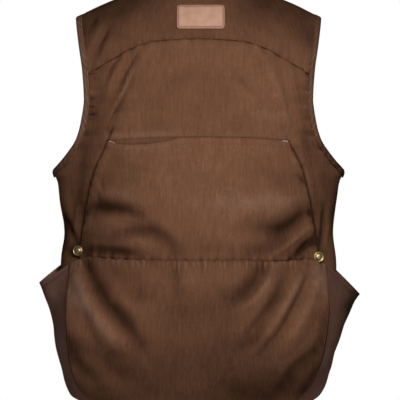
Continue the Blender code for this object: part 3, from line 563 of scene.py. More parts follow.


# Canvas: two crossed thread waves give the weave's height, slubs stretch noise along each thread, and
# the shade attribute paints shade into seams and troughs and painted highlights on the ridges
def makeCanvasGroup():
    group = bpy.data.node_groups.new("canvasWeave", "ShaderNodeTree")
    sockets = (
        ("Colour", "Color", (0.2, 0.1, 0.05, 1)),
        ("Lit And Rubbed Colour", "Color", (0.3, 0.2, 0.12, 1)),
        ("Thread", "Float", 0.0007),
        ("Mottle", "Float", 0.3),
        ("Weave Height", "Float", 0.00012),
        ("Colour", "Color", None),
        ("Roughness", "Float", None),
        ("Normal", "Vector", None),
    )
    for label, kind, value in sockets:
        way = "OUTPUT" if value is None else "INPUT"
        socket = group.interface.new_socket(label, in_out=way, socket_type=f"NodeSocket{kind}")
        if value is not None:
            socket.default_value = value
    given = group.nodes.new("NodeGroupInput").outputs
    calc, source = partial(mathNode, group), addNode(group, "UVMap", uv_map="clothMap").outputs[0]
    parts, waves, stretched = addNode(group, "SeparateXYZ", {0: source}), [], []
    for axis in (0, 1):
        turns = calc("DIVIDE", parts.outputs[axis], given["Thread"])
        waves.append(calc("SINE", calc("MULTIPLY", turns, math.pi)))
    for stretch, scale in (((1.0, 6.0, 1.0), 210.0), ((7.0, 1.0, 1.0), 100.0), ((8.0, 1.0, 1.0), 34.0)):
        spread = addNode(group, "Mapping", {0: source, "Scale": stretch}).outputs[0]
        stretched.append(noise(group, spread, scale, 3.0))
    slub = calc("MULTIPLY_ADD", calc("ADD", *stretched[:2]), 1.2, -1.2)
    place, shade = objectPlace(group), shadeOf(group)
    cloud, grain = noise(group, place, 26.0, 5.0, 0.62), noise(group, place, 330.0, 2.0)
    uneven = calc("MULTIPLY", slub, 0.55)
    for value, weight in ((cloud, 1.1), (grain, 0.7), (stretched[2], 1.3)):
        uneven = calc("ADD", uneven, calc("MULTIPLY_ADD", value, weight, -weight / 2))
    uneven = calc("MULTIPLY", uneven, given["Mottle"])
    # Painted highlights, where the shade attribute is above zero, and the random mottle blend towards the
    # pale colour; painted shade and mottle below zero darken it
    litAndRubbedShare = mapRange(group, calc("ADD", shade, uneven), 0.0, 1.0, 0.0, 1.0)
    dark = mapRange(group, calc("MULTIPLY_ADD", uneven, 0.4, shade), -1.0, 0.0, 0.22, 1.0)
    pale = mixColour(group, litAndRubbedShare, given["Colour"], given["Lit And Rubbed Colour"])
    gain = calc("MULTIPLY", dark, calc("ADD", 1.0, uneven))
    weave = calc("MULTIPLY_ADD", calc("MULTIPLY", waves[0], waves[1]), 0.5, calc("MULTIPLY", slub, 1.6))
    outputs = {
        "Colour": gained(group, pale, gain),
        "Roughness": calc("MULTIPLY_ADD", slub, 0.1, 0.62),
        "Normal": bump(group, calc("MULTIPLY", weave, given["Weave Height"]), 1.0, 0.8),
    }
    feed(group, group.nodes.new("NodeGroupOutput"), outputs)
    return group


# A new material, its tree and its shader
def newMaterial(name):
    material = bpy.data.materials.new(name)
    material.use_nodes = True
    return material, material.node_tree, material.node_tree.nodes["Principled BSDF"]


# A cloth: the canvas group in its own colours, without gloss
def canvasMaterial(name, group, look):
    material, tree, shader = newMaterial(name)
    node = tree.nodes.new("ShaderNodeGroup")
    node.node_tree = group
    colours = {"Colour": (*look["colour"], 1), "Lit And Rubbed Colour": (*look["litAndRubbed"], 1)}
    feed(tree, node, colours | {"Mottle": look["mottle"]})
    feed(tree, shader, dict(zip(("Base Color", "Roughness", "Normal"), node.outputs)))
    feed(tree, shader, {"Sheen Weight": 0.0, "Sheen Roughness": 0.5, "Specular IOR Level": 0.0})
    return material


# Colours of each cloth; a user changes the vest's look here. The second colour is the pale one that
# painted highlights and the random mottle blend towards
canvasLook = {"colour": (0.192, 0.087, 0.048), "litAndRubbed": (0.268, 0.148, 0.098), "mottle": 0.38}
sideLook = {"colour": (0.2, 0.1, 0.073), "litAndRubbed": (0.27, 0.165, 0.13), "mottle": 0.3}
bindingLook = {"colour": (0.192, 0.094, 0.054), "litAndRubbed": (0.25, 0.166, 0.126), "mottle": 0.36}


def pouchEdge(z):  # the angle of the pouch's side seam
    return locate(curve(pouchSeam, z), z)[0]


# Metres from the pouch's side seam, positive outside it; its slant makes a step across 0.95 of itself
def pouchAway(x, z):
    return (np.abs(x) - curve(pouchSeam, z)) * 0.95


# Where the pouch's side seam is sewn: from somewhat above its mouth to just under the waist
def sewnPart(x, z, above, over):
    return ramp(curve(pouchMouth, np.abs(x)) - z + above, over) * ramp(z + 0.505, 0.02)


# Puckers along an armhole, 11 mm inside its edge beside the band, from the shoulder to the underarm
def armholePuckers(x, z, armhole, wavelength, reach, height, seed):
    away = curve(armhole, z) - np.abs(x) - 0.011
    return ramp(z + 0.35, 0.03) * puckers(z, away, wavelength, reach, height, seed)


# Height added by the back's folds, its puckers at the seams and its unevenness
def backRelief(x, z):
    away, sewn = pouchAway(x, z), sewnPart(x, z, 0.16, 0.05)
    relief = foldField(backStrokes, x, z) + 0.0007 * ripple(x, z, 0.075, 11)
    relief += puckers(x, z - curve(yokeSeam, np.abs(x)), 0.019, 0.016, 0.0011, 21)
    relief += (puckers(z, away, 0.024, 0.014, 0.0012, 31) - 0.0016 * bell(away, 0.005)) * sewn
    return relief + armholePuckers(x, z, backArmhole, 0.017, 0.01, 0.0013, 41)


# Painted shade on the back: dark in its seams and troughs, a painted shadow at the slit, painted highlights
# on its ridges, and the painted strokes
def backShade(x, z, relief):
    away, sewn = pouchAway(x, z), sewnPart(x, z, np.where(x < 0, 0.03, 0.0), 0.02)
    slit = (np.abs(x) < 0.158) * bell(z - curve(pouchMouth, np.abs(x)) + 0.0004, 0.0018)
    shade = paintedShadingField(backPaintedShading, x, z) - 0.8 * bell(z - curve(yokeSeam, np.abs(x)), 0.002)
    shade -= sewn * (0.9 * bell(away, 0.0026) + 0.25 * bell(away, 0.012)) + 0.5 * slit
    return shade + np.clip(relief * 80, -0.45, 0.25)


# The back: its rows from the yoke's seam to the tail; its top edge runs up under the yoke, and it lies
# lower where the pouch covers it
def makeBack(material):
    keys = (yokeSeam, pouchMouth, underarmRow, waistSeam, tailRow)
    grid = shellPoint(*backPatch(keys, (64, 20, 42, 24), 201, edgeAngle))
    above = np.linspace(1, 0, 5)[:-1, None, None] * 2.2
    grid = np.concatenate([grid[:1] + (grid[:1] - grid[1:2]) * above, grid])
    x, z = grid[..., 0], grid[..., 2]
    relief = backRelief(x, z)
    under = cloth["tuck"] * (1 - ramp(curve(yokeSeam, np.abs(x)) - z, 0.012))
    underMouth = ramp(curve(pouchMouth, np.abs(x)) - z, 0.02) * ramp(z + 0.7, 0.05)
    covered = ramp(-pouchAway(x, z), 0.016) * underMouth
    lowered = movedOut(grid, relief - covered * (np.maximum(relief, 0) + 0.006) - under)
    return panelMesh("backPanel", lowered, material, backShade(x, z, relief), clothGrain(grid))


# The yoke: rows blended from the shoulders and the rounded back neck to its seam on the back
def makeYoke(material):
    lowAngle, lowLevel = backPatch((yokeSeam, yokeSeam), (1,), 201, edgeAngle)
    x = form["shoulderEnd"] * np.linspace(-1, 1, 201)
    topAngle = locate(x, form["shoulderStart"])[0]
    near = np.minimum(np.abs(x) / form["neckEnd"], 1) ** form["neckRoundness"]
    topLevel = form["backNeckLevel"] + (1 - form["backNeckLevel"]) * near
    share = np.linspace(0, 1, 81)[:, None]
    angle, level = topAngle + (lowAngle[0] - topAngle) * share, topLevel + (lowLevel[0] - topLevel) * share
    grid = shellPoint(angle, level)
    x, z, (u, v) = grid[..., 0], grid[..., 2], clothMeasure(grid)
    away = z - curve(yokeSeam, np.abs(x))
    relief = foldField(backStrokes, x, z) + 0.0006 * ripple(x, z, 0.08, 12)
    relief += puckers(x, away, 0.017, 0.015, 0.001, 22)
    relief += 0.0003 * (1 - ramp(away, 0.006)) + 0.0008 * (1 - ramp(v, 0.009))
    # Painted shade: troughs darker, ridges paler, dark along the shoulder edge and the seam, and the painted
    # strokes
    shade = np.clip(relief * 60, -0.35, 0.2) + paintedShadingField(yokePaintedShading, x, z)
    shade -= 0.7 * bell(v, 0.0022) + 0.25 * bell(away, 0.0016)
    return panelMesh("backYoke", movedOut(grid, relief), material, shade, (u, v))


# How far the pouch stands off the back: flat at its sides, fullest in the middle and at the waist; on
# its left half the mouth's edge droops between two photograph points
pouchForm = {"mouthStand": 0.012, "waistStand": 0.034, "slump": 0.005, "flatEdge": 0.9, "halfWidth": 0.17}


mouthDroop = {"start": (112, 142), "end": (180, 138), "lean": 0.8, "depth": 0.0105}


# The waist seam hangs a little lower towards the right
waistForm = {"drop": 0.0042, "from": 0.05, "over": 0.12, "reach": 0.036}


# The drop grows to the right and fades as a bell above and below the seam
def waistDrop(x, z):
    drop = waistForm["drop"] * ramp(x - waistForm["from"], waistForm["over"])
    return drop * bell(z - waistSeam[1][1], waistForm["reach"])


# The bulge across the pouch: a power curve that leaves the flat edge without a kink
def pouchBelly(share, power):
    rise = 1 - np.minimum(share / pouchForm["flatEdge"], 1) ** power
    return 1.12 * rise**2 / (rise + 0.12)


# The pouch: the back's rows moved out by its stand, with folds that fade into the back's at its sides
def makePouch(material):
    base = shellPoint(*backPatch((pouchMouth, underarmRow, waistSeam), (30, 84), 181, pouchEdge))
    down = np.linspace(0, 1, base.shape[0])[:, None]
    across = np.abs(np.linspace(-1, 1, 181)[None])
    belly = pouchBelly(across, 3.0 - 0.8 * down)
    stand = pouchForm["mouthStand"] + (pouchForm["waistStand"] - pouchForm["mouthStand"]) * down**0.85
    stand = (stand + pouchForm["slump"] * np.sin(math.pi * down)) * belly
    x, z, (u, toMouth) = base[..., 0], base[..., 2], clothMeasure(base)
    toWaist, toSide = toMouth[-1:] - toMouth, (1 - across) * pouchForm["halfWidth"]
    relief = foldField(pouchStrokes, x, z) + 0.0009 * ripple(x, z, 0.085, 13)
    relief += puckers(x, toWaist, 0.015, 0.013, 0.0012, 51) + puckers(z, toSide, 0.022, 0.014, 0.0016, 52)
    inner = ramp(toSide, 0.024)
    relief = relief * inner + backRelief(x, z) * (1 - inner) + puckers(u, toMouth, 0.06, 0.02, 0.0009, 53)
    hem = 0.0004 * (1 - ramp(toMouth, 0.006))
    tuck = 0.0008 * (1 - ramp(toWaist, 0.008)) ** 2
    grid = movedOut(base, cloth["thickness"] + cloth["lap"] + stand + relief + hem - tuck * belly)
    start, end = (photoPoint(*mouthDroop[key])[0] for key in ("start", "end"))
    share = np.clip((x - start) / (end - start), 0, 1)
    sag = np.sin(math.pi * share ** mouthDroop["lean"]) ** 0.8 * mouthDroop["depth"]
    grid[..., 2] -= sag * bell(toMouth, 0.045)
    grid[..., 1] -= 0.25 * sag * bell(toMouth, 0.03)
    grid[..., 2] -= waistDrop(x, z)
    # Painted shade: troughs darker, ridges paler, dark lines along the side seams, the waist seam and under
    # the mouth's edge, a wavering dark band above the waist seam, and the painted strokes
    dots = np.clip(waver(x, 0.015, 51), -1.5, 1.5)
    shade = np.clip(relief * 60, -0.45, 0.3) + paintedShadingField(pouchPaintedShading, x, z) - 0.7 * bell(toSide, 0.002)
    shade -= 0.3 * bell(toWaist, 0.0022) + (0.16 - 0.2 * dots) * bell(toWaist, 0.007)
    shade -= 0.55 * bell(toMouth, 0.0018)
    return panelMesh("pouchUpper", grid, material, shade, clothGrain(base))


# The game bag, one section a row: share of its height, then height, depth behind and side edges
bagRows = (
    (0.0, -0.4794, -0.4854, -0.152, -0.06, -0.2235, 0.223),
    (0.12, -0.513, -0.517, -0.186, -0.106, -0.224, 0.2225),
    (0.26, -0.554, -0.556, -0.203, -0.138, -0.226, 0.223),
    (0.42, -0.603, -0.603, -0.202, -0.152, -0.2245, 0.2185),
    (0.56, -0.647, -0.645, -0.192, -0.154, -0.22, 0.21),
    (0.69, -0.687, -0.683, -0.178, -0.148, -0.2105, 0.195),
    (0.8, -0.718, -0.71, -0.163, -0.138, -0.192, 0.175),
    (0.91, -0.742, -0.73, -0.146, -0.127, -0.165, 0.152), (1, -0.759, -0.74, -0.122, -0.115, -0.14, 0.13),
)
bagForm = {"roundness": 3.2, "lap": 0.005, "halfWidth": 0.24}


# The bag's smooth form: each row bulges between its edges as a power of the distance from the middle;
# its first row follows the waist seam and its last row lies on the tail
def bagBase(downCount, acrossCount):
    share = np.linspace(0, 1, downCount)[:, None]
    across = np.linspace(-1, 1, acrossCount)[None]
    sizes = (curve([(row[0], row[column]) for row in bagRows], share) for column in range(1, 7))
    middleZ, sideZ, middleY, sideY, left, right = sizes
    x = (left + right) / 2 + (right - left) / 2 * across
    belly = 1 - np.abs(across) ** bagForm["roundness"]
    y = sideY + (middleY - sideY) * belly
    z = sideZ + (middleZ - sideZ) * belly
    grid = np.stack(np.broadcast_arrays(x, y, z), -1)
    waist = pointAt(x[0], curve(waistSeam, np.abs(x[0])))
    reach = float(curve(pouchSeam, -0.475))
    waist[:, 1] -= 0.0036 + pouchForm["waistStand"] * pouchBelly(np.abs(x[0]) / reach, 2.2)
    waist[:, 2] += 0.0012
    tail = pointAt(x[-1], curve(tailRow, np.abs(x[-1])) + bagForm["lap"])
    tail[:, 1] -= cloth["onBack"]
    top, low = (1 - ramp(share, 0.18))[..., None], (1 - ramp(1 - share, 0.06))[..., None]
    return grid + (waist - grid[:1]) * top + (tail - grid[-1:]) * low, across


# The bag: its smooth form with folds that fade out at its seams, and pinched ridges below the waist with
# painted highlights on them
def makeBag(material):
    base, across = bagBase(151, 181)
    x, z, toWaist = base[..., 0], base[..., 2], clothMeasure(base)[1]
    toTail, toSide = toWaist[-1:] - toWaist, (1 - np.abs(across)) * bagForm["halfWidth"]
    fade = ramp(toWaist, 0.012) * ramp(toSide, 0.016) * ramp(toTail, 0.06)
    relief = (foldField(bagStrokes, x, z) + 0.0013 * ripple(x, z, 0.1, 14)) * fade
    relief += puckers(x, toWaist, 0.013, 0.013, 0.0013, 51)
    relief += puckers(z, toSide, 0.034, 0.016, 0.001, 62) * ramp(toSide, 0.008)
    tuck = 0.0008 * (1 - ramp(toWaist, 0.008)) ** 2
    grid = movedOut(base, relief - tuck * ramp(toSide, 0.03))
    grid[..., 2] -= waistDrop(x, z)
    # Painted shade: troughs darker, ridges paler, dark lines along the side and waist seams; painted
    # highlights on short ridges just under the waist seam, and the painted strokes
    ridgeHighlights = np.clip(waver(x, 0.0075, 55) - 0.25, -0.25, 1.2)
    reach = 0.012 * (1 + 0.5 * np.clip(waver(x, 0.031, 53), -1, 1))
    shade = np.clip(relief * 40, -0.4, 0.3) + paintedShadingField(bagPaintedShading, x, z) - 0.6 * bell(toSide, 0.0018)
    shade += 0.62 * ridgeHighlights * bell(toWaist - 0.009, reach) - 0.3 * bell(toWaist, 0.0018)
    return *panelMesh("gameBag", grid, material, shade, clothGrain(base, False)), base


# The side pieces: height of the tip and of the lap at the top, and the widest point by height
gussets = {
    "left": {
        "sign": -1,
        "tipZ": -0.5215,
        "lapZ": -0.491,
        "width": (
            (-0.5215, 0.279), (-0.545, 0.2695), (-0.571, 0.259), (-0.613, 0.2515), (-0.641, 0.2465),
            (-0.669, 0.238), (-0.697, 0.2285), (-0.723, 0.213), (-0.748, 0.17),
        ),
    },
    "right": {
        "sign": 1,
        "tipZ": -0.5405,
        "lapZ": -0.5,
        "width": (
            (-0.5405, 0.282), (-0.557, 0.271), (-0.585, 0.259), (-0.613, 0.248), (-0.641, 0.237),
            (-0.669, 0.228), (-0.697, 0.2155), (-0.723, 0.198), (-0.748, 0.16),
        ),
    },
}
gussetMiddle = ((-0.52, -0.028), (-0.6, -0.045), (-0.68, -0.065), (-0.748, -0.105))
gussetLap = ((-0.5, 98), (-0.64, 98), (-0.672, 86))
gussetBottom = -0.744


# A point of the cloth at an angle from the middle of the back, past 90 degrees on the front
def bodyPoint(degrees, z, sign, lift):
    front, level = degrees > 90, z - form["shoulderStart"]
    angle = np.radians(np.where(front, 180 - degrees, degrees)) * sign
    point = np.where(front[..., None], shellPoint(angle, level, True), shellPoint(angle, level))
    away = np.stack([np.sin(angle), np.cos(angle) * np.where(front, 1, -1), np.zeros(angle.shape)], -1)
    return point + away * lift


# A side piece: each row is a parabola through the bag's edge, its widest point and its lap on the
# side; its last rows come to lie on the tail
def makeGusset(name, bag, material):
    sizes = gussets[name]
    sign, share, t = sizes["sign"], np.linspace(0, 1, len(bag)), np.linspace(0, 1, 51)
    edge = movedOut(bag, np.full(bag.shape[:2], -0.0026))[:, 0 if sign < 0 else -1]
    middleZ, lapZ = (sizes[key] + (gussetBottom - sizes[key]) * share for key in ("tipZ", "lapZ"))
    middle = np.stack([sign * curve(sizes["width"], middleZ), curve(gussetMiddle, middleZ), middleZ], -1)
    onSide, onTail = curve(gussetLap, lapZ), np.degrees(edgeAngle(lapZ)) - 4.0
    lap = bodyPoint(onSide + (onTail - onSide) * ramp(-0.648 - lapZ, 0.022), lapZ, sign, cloth["onBack"])
    onBack = pointAt(*((edge + lap) / 2)[:, ::2].T) - np.array([0, cloth["onBack"], 0])
    middle += (onBack - middle) * ramp(share - 0.86, 0.14)[:, None]
    weights = np.stack([2 * t**2 - 3 * t + 1, 4 * t - 4 * t**2, 2 * t**2 - t])
    grid = np.einsum("kc,krx->rcx", weights, np.stack([edge, middle, lap]))[:, ::sign]
    x, y, z, (u, v) = *np.moveaxis(grid, -1, 0), clothMeasure(grid)
    relief = 0.0012 * ripple(y, z, 0.05, 71) * np.sin(math.pi * t[::sign])
    # Painted shade: troughs darker, ridges paler, a dark line along the stitching under its top, and the
    # painted strokes
    shade = np.clip(relief * 60, -0.3, 0.3) - 0.4 * bell(v - 0.011, 0.0016) + paintedShadingField(gussetPaintedShading, x, z)
    grid = movedOut(grid, relief + 0.0005 * (1 - ramp(v, 0.01)))
    return panelMesh("gusset" + name.title(), grid, material, shade, (u, v))


# One front, from the side to the middle: the shoulder rows, then the rows down to the hem
def makeFront(sign, material):
    start, rise, t = form["shoulderStart"], np.linspace(1, 0, 52)[:-1, None], np.linspace(0, 1, 71)[None]
    up = superWave(rise * math.pi / 2, form["shoulderPower"])[0]
    edgeX, innerX = np.full(rise.shape, 0.2), np.full(rise.shape, 0.05)
    for _ in range(14):  # each round brings the shoulder rows' ends nearer to the armhole and the neck
        edgeX = curve(frontArmhole, start + (curve(shoulderSeam, edgeX) - start) * up)
        innerZ = start + (curve(shoulderSeam, innerX) - start) * up
        innerX = form["halfSeam"] + form["neckEnd"] * (1 - innerZ / start)
    underarm, hem = form["underarm"], form["frontHem"]
    z = np.concatenate([np.linspace(start, underarm, 34), np.linspace(underarm, hem, 84)[1:]])[:, None]
    outer = np.concatenate([locate(edgeX, start)[0], edgeAngle(z, frontArmhole)])
    inner = np.concatenate([locate(innerX, start)[0], locate(form["halfSeam"], np.minimum(z, start))[0]])
    level = np.concatenate([rise, z - start])
    grid = shellPoint((outer + (inner - outer) * t) * sign, level + 0 * t, True)[:, ::sign]
    x, z = grid[..., 0], grid[..., 2]
    toHem = z - hem
    relief = 0.0013 * ripple(x, z, 0.11, 15 + sign)
    relief += armholePuckers(x, z, frontArmhole, 0.018, 0.012, 0.001, 42)
    relief += puckers(x, toHem - 0.02, 0.02, 0.01, 0.0006, 43)
    relief -= 0.003 * bell(np.abs(x) - 0.17 - (z + 0.33) * 0.2, 0.016) * bell(z + 0.4, 0.07)
    relief *= ramp(np.abs(x), 0.03)
    # Painted shade: troughs darker, ridges paler, and a dark line along the hem's stitching
    shade = np.clip(relief * 60, -0.3, 0.3) - 0.5 * bell(toHem - 0.02, 0.0016)
    return panelMesh("front" + sideNames[sign], movedOut(grid, relief), material, shade, clothGrain(grid))


placketForm = {"halfWidth": 0.016, "top": -0.208, "seam": 0.0125, "lift": 0.002, "pull": 0.0002}


# The placket: a straight strip on the fronts, pulled in at the seam along both edges, with painted shade
# along these seams
def makePlacket(material):
    half, pull = placketForm["halfWidth"], placketForm["pull"]
    x, z = np.linspace(half, -half, 17)[None], np.linspace(placketForm["top"], form["frontHem"], 150)[:, None]
    edge = bell(np.abs(x) - placketForm["seam"], 0.001)
    grid = movedOut(pointAt(x, z, True), placketForm["lift"] + pull * waver(z, 0.03, 81) * edge - pull * edge)
    return panelMesh("frontPlacket", grid, material, -0.5 * edge, clothMeasure(grid))


bindingForm = {"width": 0.0105, "thickness": 0.001, "lift": 0.0016}


# The band round an armhole: its edge runs from the underarm up the back and down the front; each row
# leaves the edge at a right angle on the cloth, straight down at the underarm, and is put back on the cloth
def makeBinding(sign, material):
    width, start = bindingForm["width"], form["shoulderStart"]
    down, heart = np.array([0, 0, -1.0]), np.array([0, 0, -0.3])
    underarm, bend, top = form["underarm"], -0.268, backArmhole[0][0]
    z = np.concatenate([np.linspace(underarm, bend, 22), np.linspace(bend, top, 62)[1:]])
    t, strips = np.linspace(0, 1, 11)[None], []
    for hole, front in ((backArmhole, False), (frontArmhole, True)):
        edgeTurn, edgeLevel = locate(curve(hole, z), z)
        edge = shellPoint(edgeTurn, edgeLevel, front)
        turned = (shellPoint(edgeTurn - 0.001, edgeLevel, front) - edge) / 0.001
        along = np.gradient(edge, axis=0)
        inward = unit(np.cross(np.cross(along, turned), along))
        inward *= np.sign(np.sum(inward * turned, axis=1, keepdims=True))
        inward = unit(inward + (down - inward) * (1 - ramp(z - underarm, 0.014))[:, None])
        flat = edge[:, None] + inward[:, None] * width * t[..., None]
        height = np.minimum(flat[..., 2], start)
        depth = ringSize(3 if front else 2, height)
        angle = np.arctan2(flat[..., 0] / ringSize(1, height), np.abs(flat[..., 1]) / depth)
        above, speed = z[:, None] > start, np.linalg.norm(turned, axis=1)[:, None]
        angle = np.where(above, edgeTurn[:, None] - width * t / speed, angle)
        grid = shellPoint(angle * sign, np.where(above, edgeLevel[:, None], height - start), front)
        normal = normalsOf(grid)
        normal *= np.sign(np.sum(normal * (grid - heart), axis=-1, keepdims=True))
        roll = 0.0005 * np.sin(math.pi * t[..., None]).clip(0) ** 0.5
        grid = grid + normal * (bindingForm["lift"] + 0.0012 * ramp(-0.28 - grid[..., 2:], 0.02) + roll)
        strips.append(grid[::-1][1:] if front else grid)
    grid = np.concatenate(strips)
    grid = grid[:, ::-1] if np.sum(normalsOf(grid) * (grid - heart)) < 0 else grid
    u, v = clothMeasure(grid)
    edge = grid[:, :1] if abs(grid[0, 0, 0]) > abs(grid[0, -1, 0]) else grid[:, -1:]
    toEdge = np.linalg.norm(grid - edge, axis=-1)
    # Painted shade: dark along the band's outer edge and its inner seam, darker towards the underarm; a
    # random waver mottles it, the left band paler, the right darker
    shade = 0.3 * waver(v, 0.012, 91 + sign) + (0.3 if sign < 0 else -0.2)
    shade -= 0.8 * bell(toEdge, 0.0024) + 0.3 * bell(toEdge - width, 0.0012)
    shade -= 0.5 * ramp(-0.262 - grid[..., 2], 0.025)
    return panelMesh("binding" + sideNames[sign], grid, material, shade, (u, v), bindingForm["thickness"])


# The leather patch: a rounded rectangle of bare leather with a pressed line round it
patchForm = {
    "centre": (0.004, -0.0612),
    "half": (0.0415, 0.0215),
    "corner": 0.006,
    "thickness": 0.0018,
    "line": 0.0036,
    "lineDepth": 0.00035,
}
patchLook = {"colour": (0.655, 0.366, 0.246), "edge": (0.27, 0.12, 0.075), "roughness": 0.62}


# The patch's corners are rounded by scaling each corner square's points from square to circular rings
def makePatch(material):
    (hx, hz), corner, line = patchForm["half"], patchForm["corner"], patchForm["line"]
    x, z = np.meshgrid(np.linspace(-hx, hx, 121), np.linspace(hz, -hz, 63))
    dx, dz = np.maximum(np.abs(x) - hx + corner, 0), np.maximum(np.abs(z) - hz + corner, 0)
    far, both = np.maximum(dx, dz), (dx > 0) & (dz > 0)
    pull = np.where(both, far / np.maximum(np.hypot(dx, dz), 1e-9), 1.0)
    px = np.where(both, np.sign(x) * (hx - corner + dx * pull), x)
    pz = np.where(both, np.sign(z) * (hz - corner + dz * pull), z)
    inside = np.where(both, corner - far, np.minimum(hx - np.abs(x), hz - np.abs(z)))
    rounding = 0.0007 * (1 - np.sqrt(1 - (1 - np.clip(inside / 0.0009, 0, 1)) ** 2 * 0.98))
    pressed = patchForm["lineDepth"] * bell(inside - line, 0.00055)
    lift = patchForm["thickness"] + 0.0012 - rounding - pressed + 0.00012 * ripple(px, pz, 0.016, 101)
    shade = -0.75 * bell(inside - line, 0.0006) - bell(inside, 0.0011) - 0.14 * (inside < line)
    grid = movedOut(pointAt(px + patchForm["centre"][0], pz + patchForm["centre"][1]), lift)
    return panelMesh("leatherPatch", grid, material, shade, (px, pz), patchForm["thickness"])


# Leather: fine pores and soft blotches; the shade attribute darkens the pressed line and the cut edge
def leatherMaterial():
    material, tree, shader = newMaterial("patchLeather")
    place = objectPlace(tree)
    pores = addNode(tree, "TexVoronoi", {"Vector": place, "Scale": 1400.0}, feature="DISTANCE_TO_EDGE")
    dark = mapRange(tree, shadeOf(tree), -1.0, 0.0, 1.0, 0.0)
    tone = mixColour(tree, dark, (*patchLook["colour"], 1), (*patchLook["edge"], 1))
    height = mathNode(tree, "MULTIPLY", pores.outputs["Distance"], 0.1)
    gain = mathNode(tree, "MULTIPLY_ADD", noise(tree, place, 70.0), 0.6, 0.7)
    inputs = {
        "Base Color": gained(tree, tone, gain),
        "Roughness": patchLook["roughness"],
        "Normal": bump(tree, height, 0.001, 0.35),
    }
    feed(tree, shader, inputs)
    return material


brassLook = {"colour": (0.56, 0.43, 0.215), "dull": (0.19, 0.14, 0.07), "roughness": 0.4}


# Brass: metal with dull spots where the noise is high, and a slightly uneven finish
def brassMaterial():
    material, tree, shader = newMaterial("agedBrass")
    worn = noise(tree, objectPlace(tree), 420.0)
    share = mapRange(tree, worn, 0.42, 0.7, 0.0, 0.75)
    inputs = {
        "Base Color": mixColour(tree, share, (*brassLook["colour"], 1), (*brassLook["dull"], 1)),
        "Metallic": 1.0,
        "Roughness": mathNode(tree, "MULTIPLY_ADD", worn, 0.22, brassLook["roughness"] - 0.11),
        "Normal": bump(tree, mathNode(tree, "MULTIPLY", worn, 0.00006), 1.0, 0.6),
    }
    feed(tree, shader, inputs)
    return material


# Thread: a plain matt colour with a little unevenness along it
def threadMaterial(name, colour):
    material, tree, shader = newMaterial(name)
    gain = mathNode(tree, "MULTIPLY_ADD", noise(tree, objectPlace(tree), 900.0, 2.0, 0.5), 0.6, 0.7)
    feed(tree, shader, {"Base Color": gained(tree, (*colour, 1), gain), "Roughness": 0.7})
    return material


threadLook = {"seam": (0.12, 0.052, 0.028), "tack": (0.42, 0.29, 0.22)}

# A press stud's profile: radius and height, from the top of its cap over its rolled ring to its foot
snapProfile = (
    (0.0, 0.0036), (0.002, 0.00356), (0.0038, 0.00342), (0.005, 0.00305), (0.0058, 0.0023),
    (0.0061, 0.0014), (0.0063, 0.0008), (0.0067, 0.0007), (0.0072, 0.0011), (0.0078, 0.0015),
    (0.0084, 0.0015), (0.0089, 0.0011), (0.0091, 0.0005), (0.009, -0.0008), (0.0, -0.0008),
)
# place, lift off the back, and how far it tilts to face straight behind
backSnaps = {
    "snap_back_left": (-0.2073, -0.465, 0.005, 0.6),
    "snap_back_right": (0.2046, -0.475, 0.0062, 1.6),
}
frontSnapHeights = (-0.224, -0.323, -0.422, -0.521, -0.62)


# The studs at the waist stand on the back's nearest point; those in front stand on the placket
def makeSnaps(back, material):
    places, normals = {}, normalsOf(back)
    for name, (x, z, lift, tilt) in backSnaps.items():
        i, j = nearestPoint(back, x, z)
        normal = normals[i - 6 : i + 7, j - 6 : j + 7].mean(axis=(0, 1))
        places[name] = back[i, j] + normal * lift, normal + np.array([0.0, -tilt, 0.0])
    for number, z in enumerate(frontSnapHeights, 1):
        here, below = (pointAt(0.0, height, True) for height in (z, z - 0.002))
        normal = unit(np.cross(np.array([-1.0, 0.0, 0.0]), here - below))
        places[f"snap_front_{number}"] = here + normal * 0.0024, normal
    return {name: makeTurned(name + "_stud", snapProfile, *place, material) for name, place in places.items()}


# Row and column of the grid's point that is seen nearest to x and z
def nearestPoint(grid, x, z):
    away = (grid[..., 0] - x) ** 2 + (grid[..., 2] - z) ** 2
    return np.unravel_index(np.argmin(away), away.shape)


# A bar tack: close threads side by side, at the grid's points nearest to the given ones
def makeTack(name, grid, centre, material, width=0.0095, height=0.0026):
    x = centre[0] + np.arange(-width / 2, width / 2, 0.00065)
    i, j = nearestPoint(grid, *centre)
    across = grid[i, j + 3] - grid[i, j - 3]
    across /= across[0]
    normal = normalsOf(grid)[i, j]
    places = grid[i, j] + (x - grid[i, j, 0])[:, None] * across + normal * 0.0003
    lean = np.where(np.arange(len(x)) % 2 == 0, 0.12, -0.12)[:, None] * across
    directions, normals = np.cross(normal, across) + lean, np.broadcast_to(normal, places.shape)
    return makeThreads(name, places, directions, normals, material, height, 0.00042)


print("making materials")
weaveGroup = makeCanvasGroup()
# Each canvas shows the painted shade and painted highlights held in its meshes' shade attribute
canvas = canvasMaterial("wornAndShadedCanvas", weaveGroup, canvasLook)
sideCanvas = canvasMaterial("gussetCanvas", weaveGroup, sideLook)
bindingCanvas = canvasMaterial("bindingCanvas", weaveGroup, bindingLook)

leather = leatherMaterial()
brass = brassMaterial()
seamThread = threadMaterial("seamThread", threadLook["seam"])
tackThread = threadMaterial("tackThread", threadLook["tack"])

print("making the cloth")
grids, made = {}, {}
made["back_panel"], grids["back_panel"] = makeBack(canvas)
made["back_yoke"], grids["back_yoke"] = makeYoke(canvas)
made["pouch_upper"], grids["pouch_upper"] = makePouch(canvas)
made["game_bag"], grids["game_bag"], bagSmooth = makeBag(canvas)
made["front_placket"], grids["front_placket"] = makePlacket(canvas)
for side, sign in (("left", -1), ("right", 1)):
    made["gusset_" + side], grids["gusset_" + side] = makeGusset(side, bagSmooth, sideCanvas)
    made["front_" + side], grids["front_" + side] = makeFront(sign, canvas)
    name = "armhole_binding_" + side
    made[name], grids[name] = makeBinding(sign, bindingCanvas)

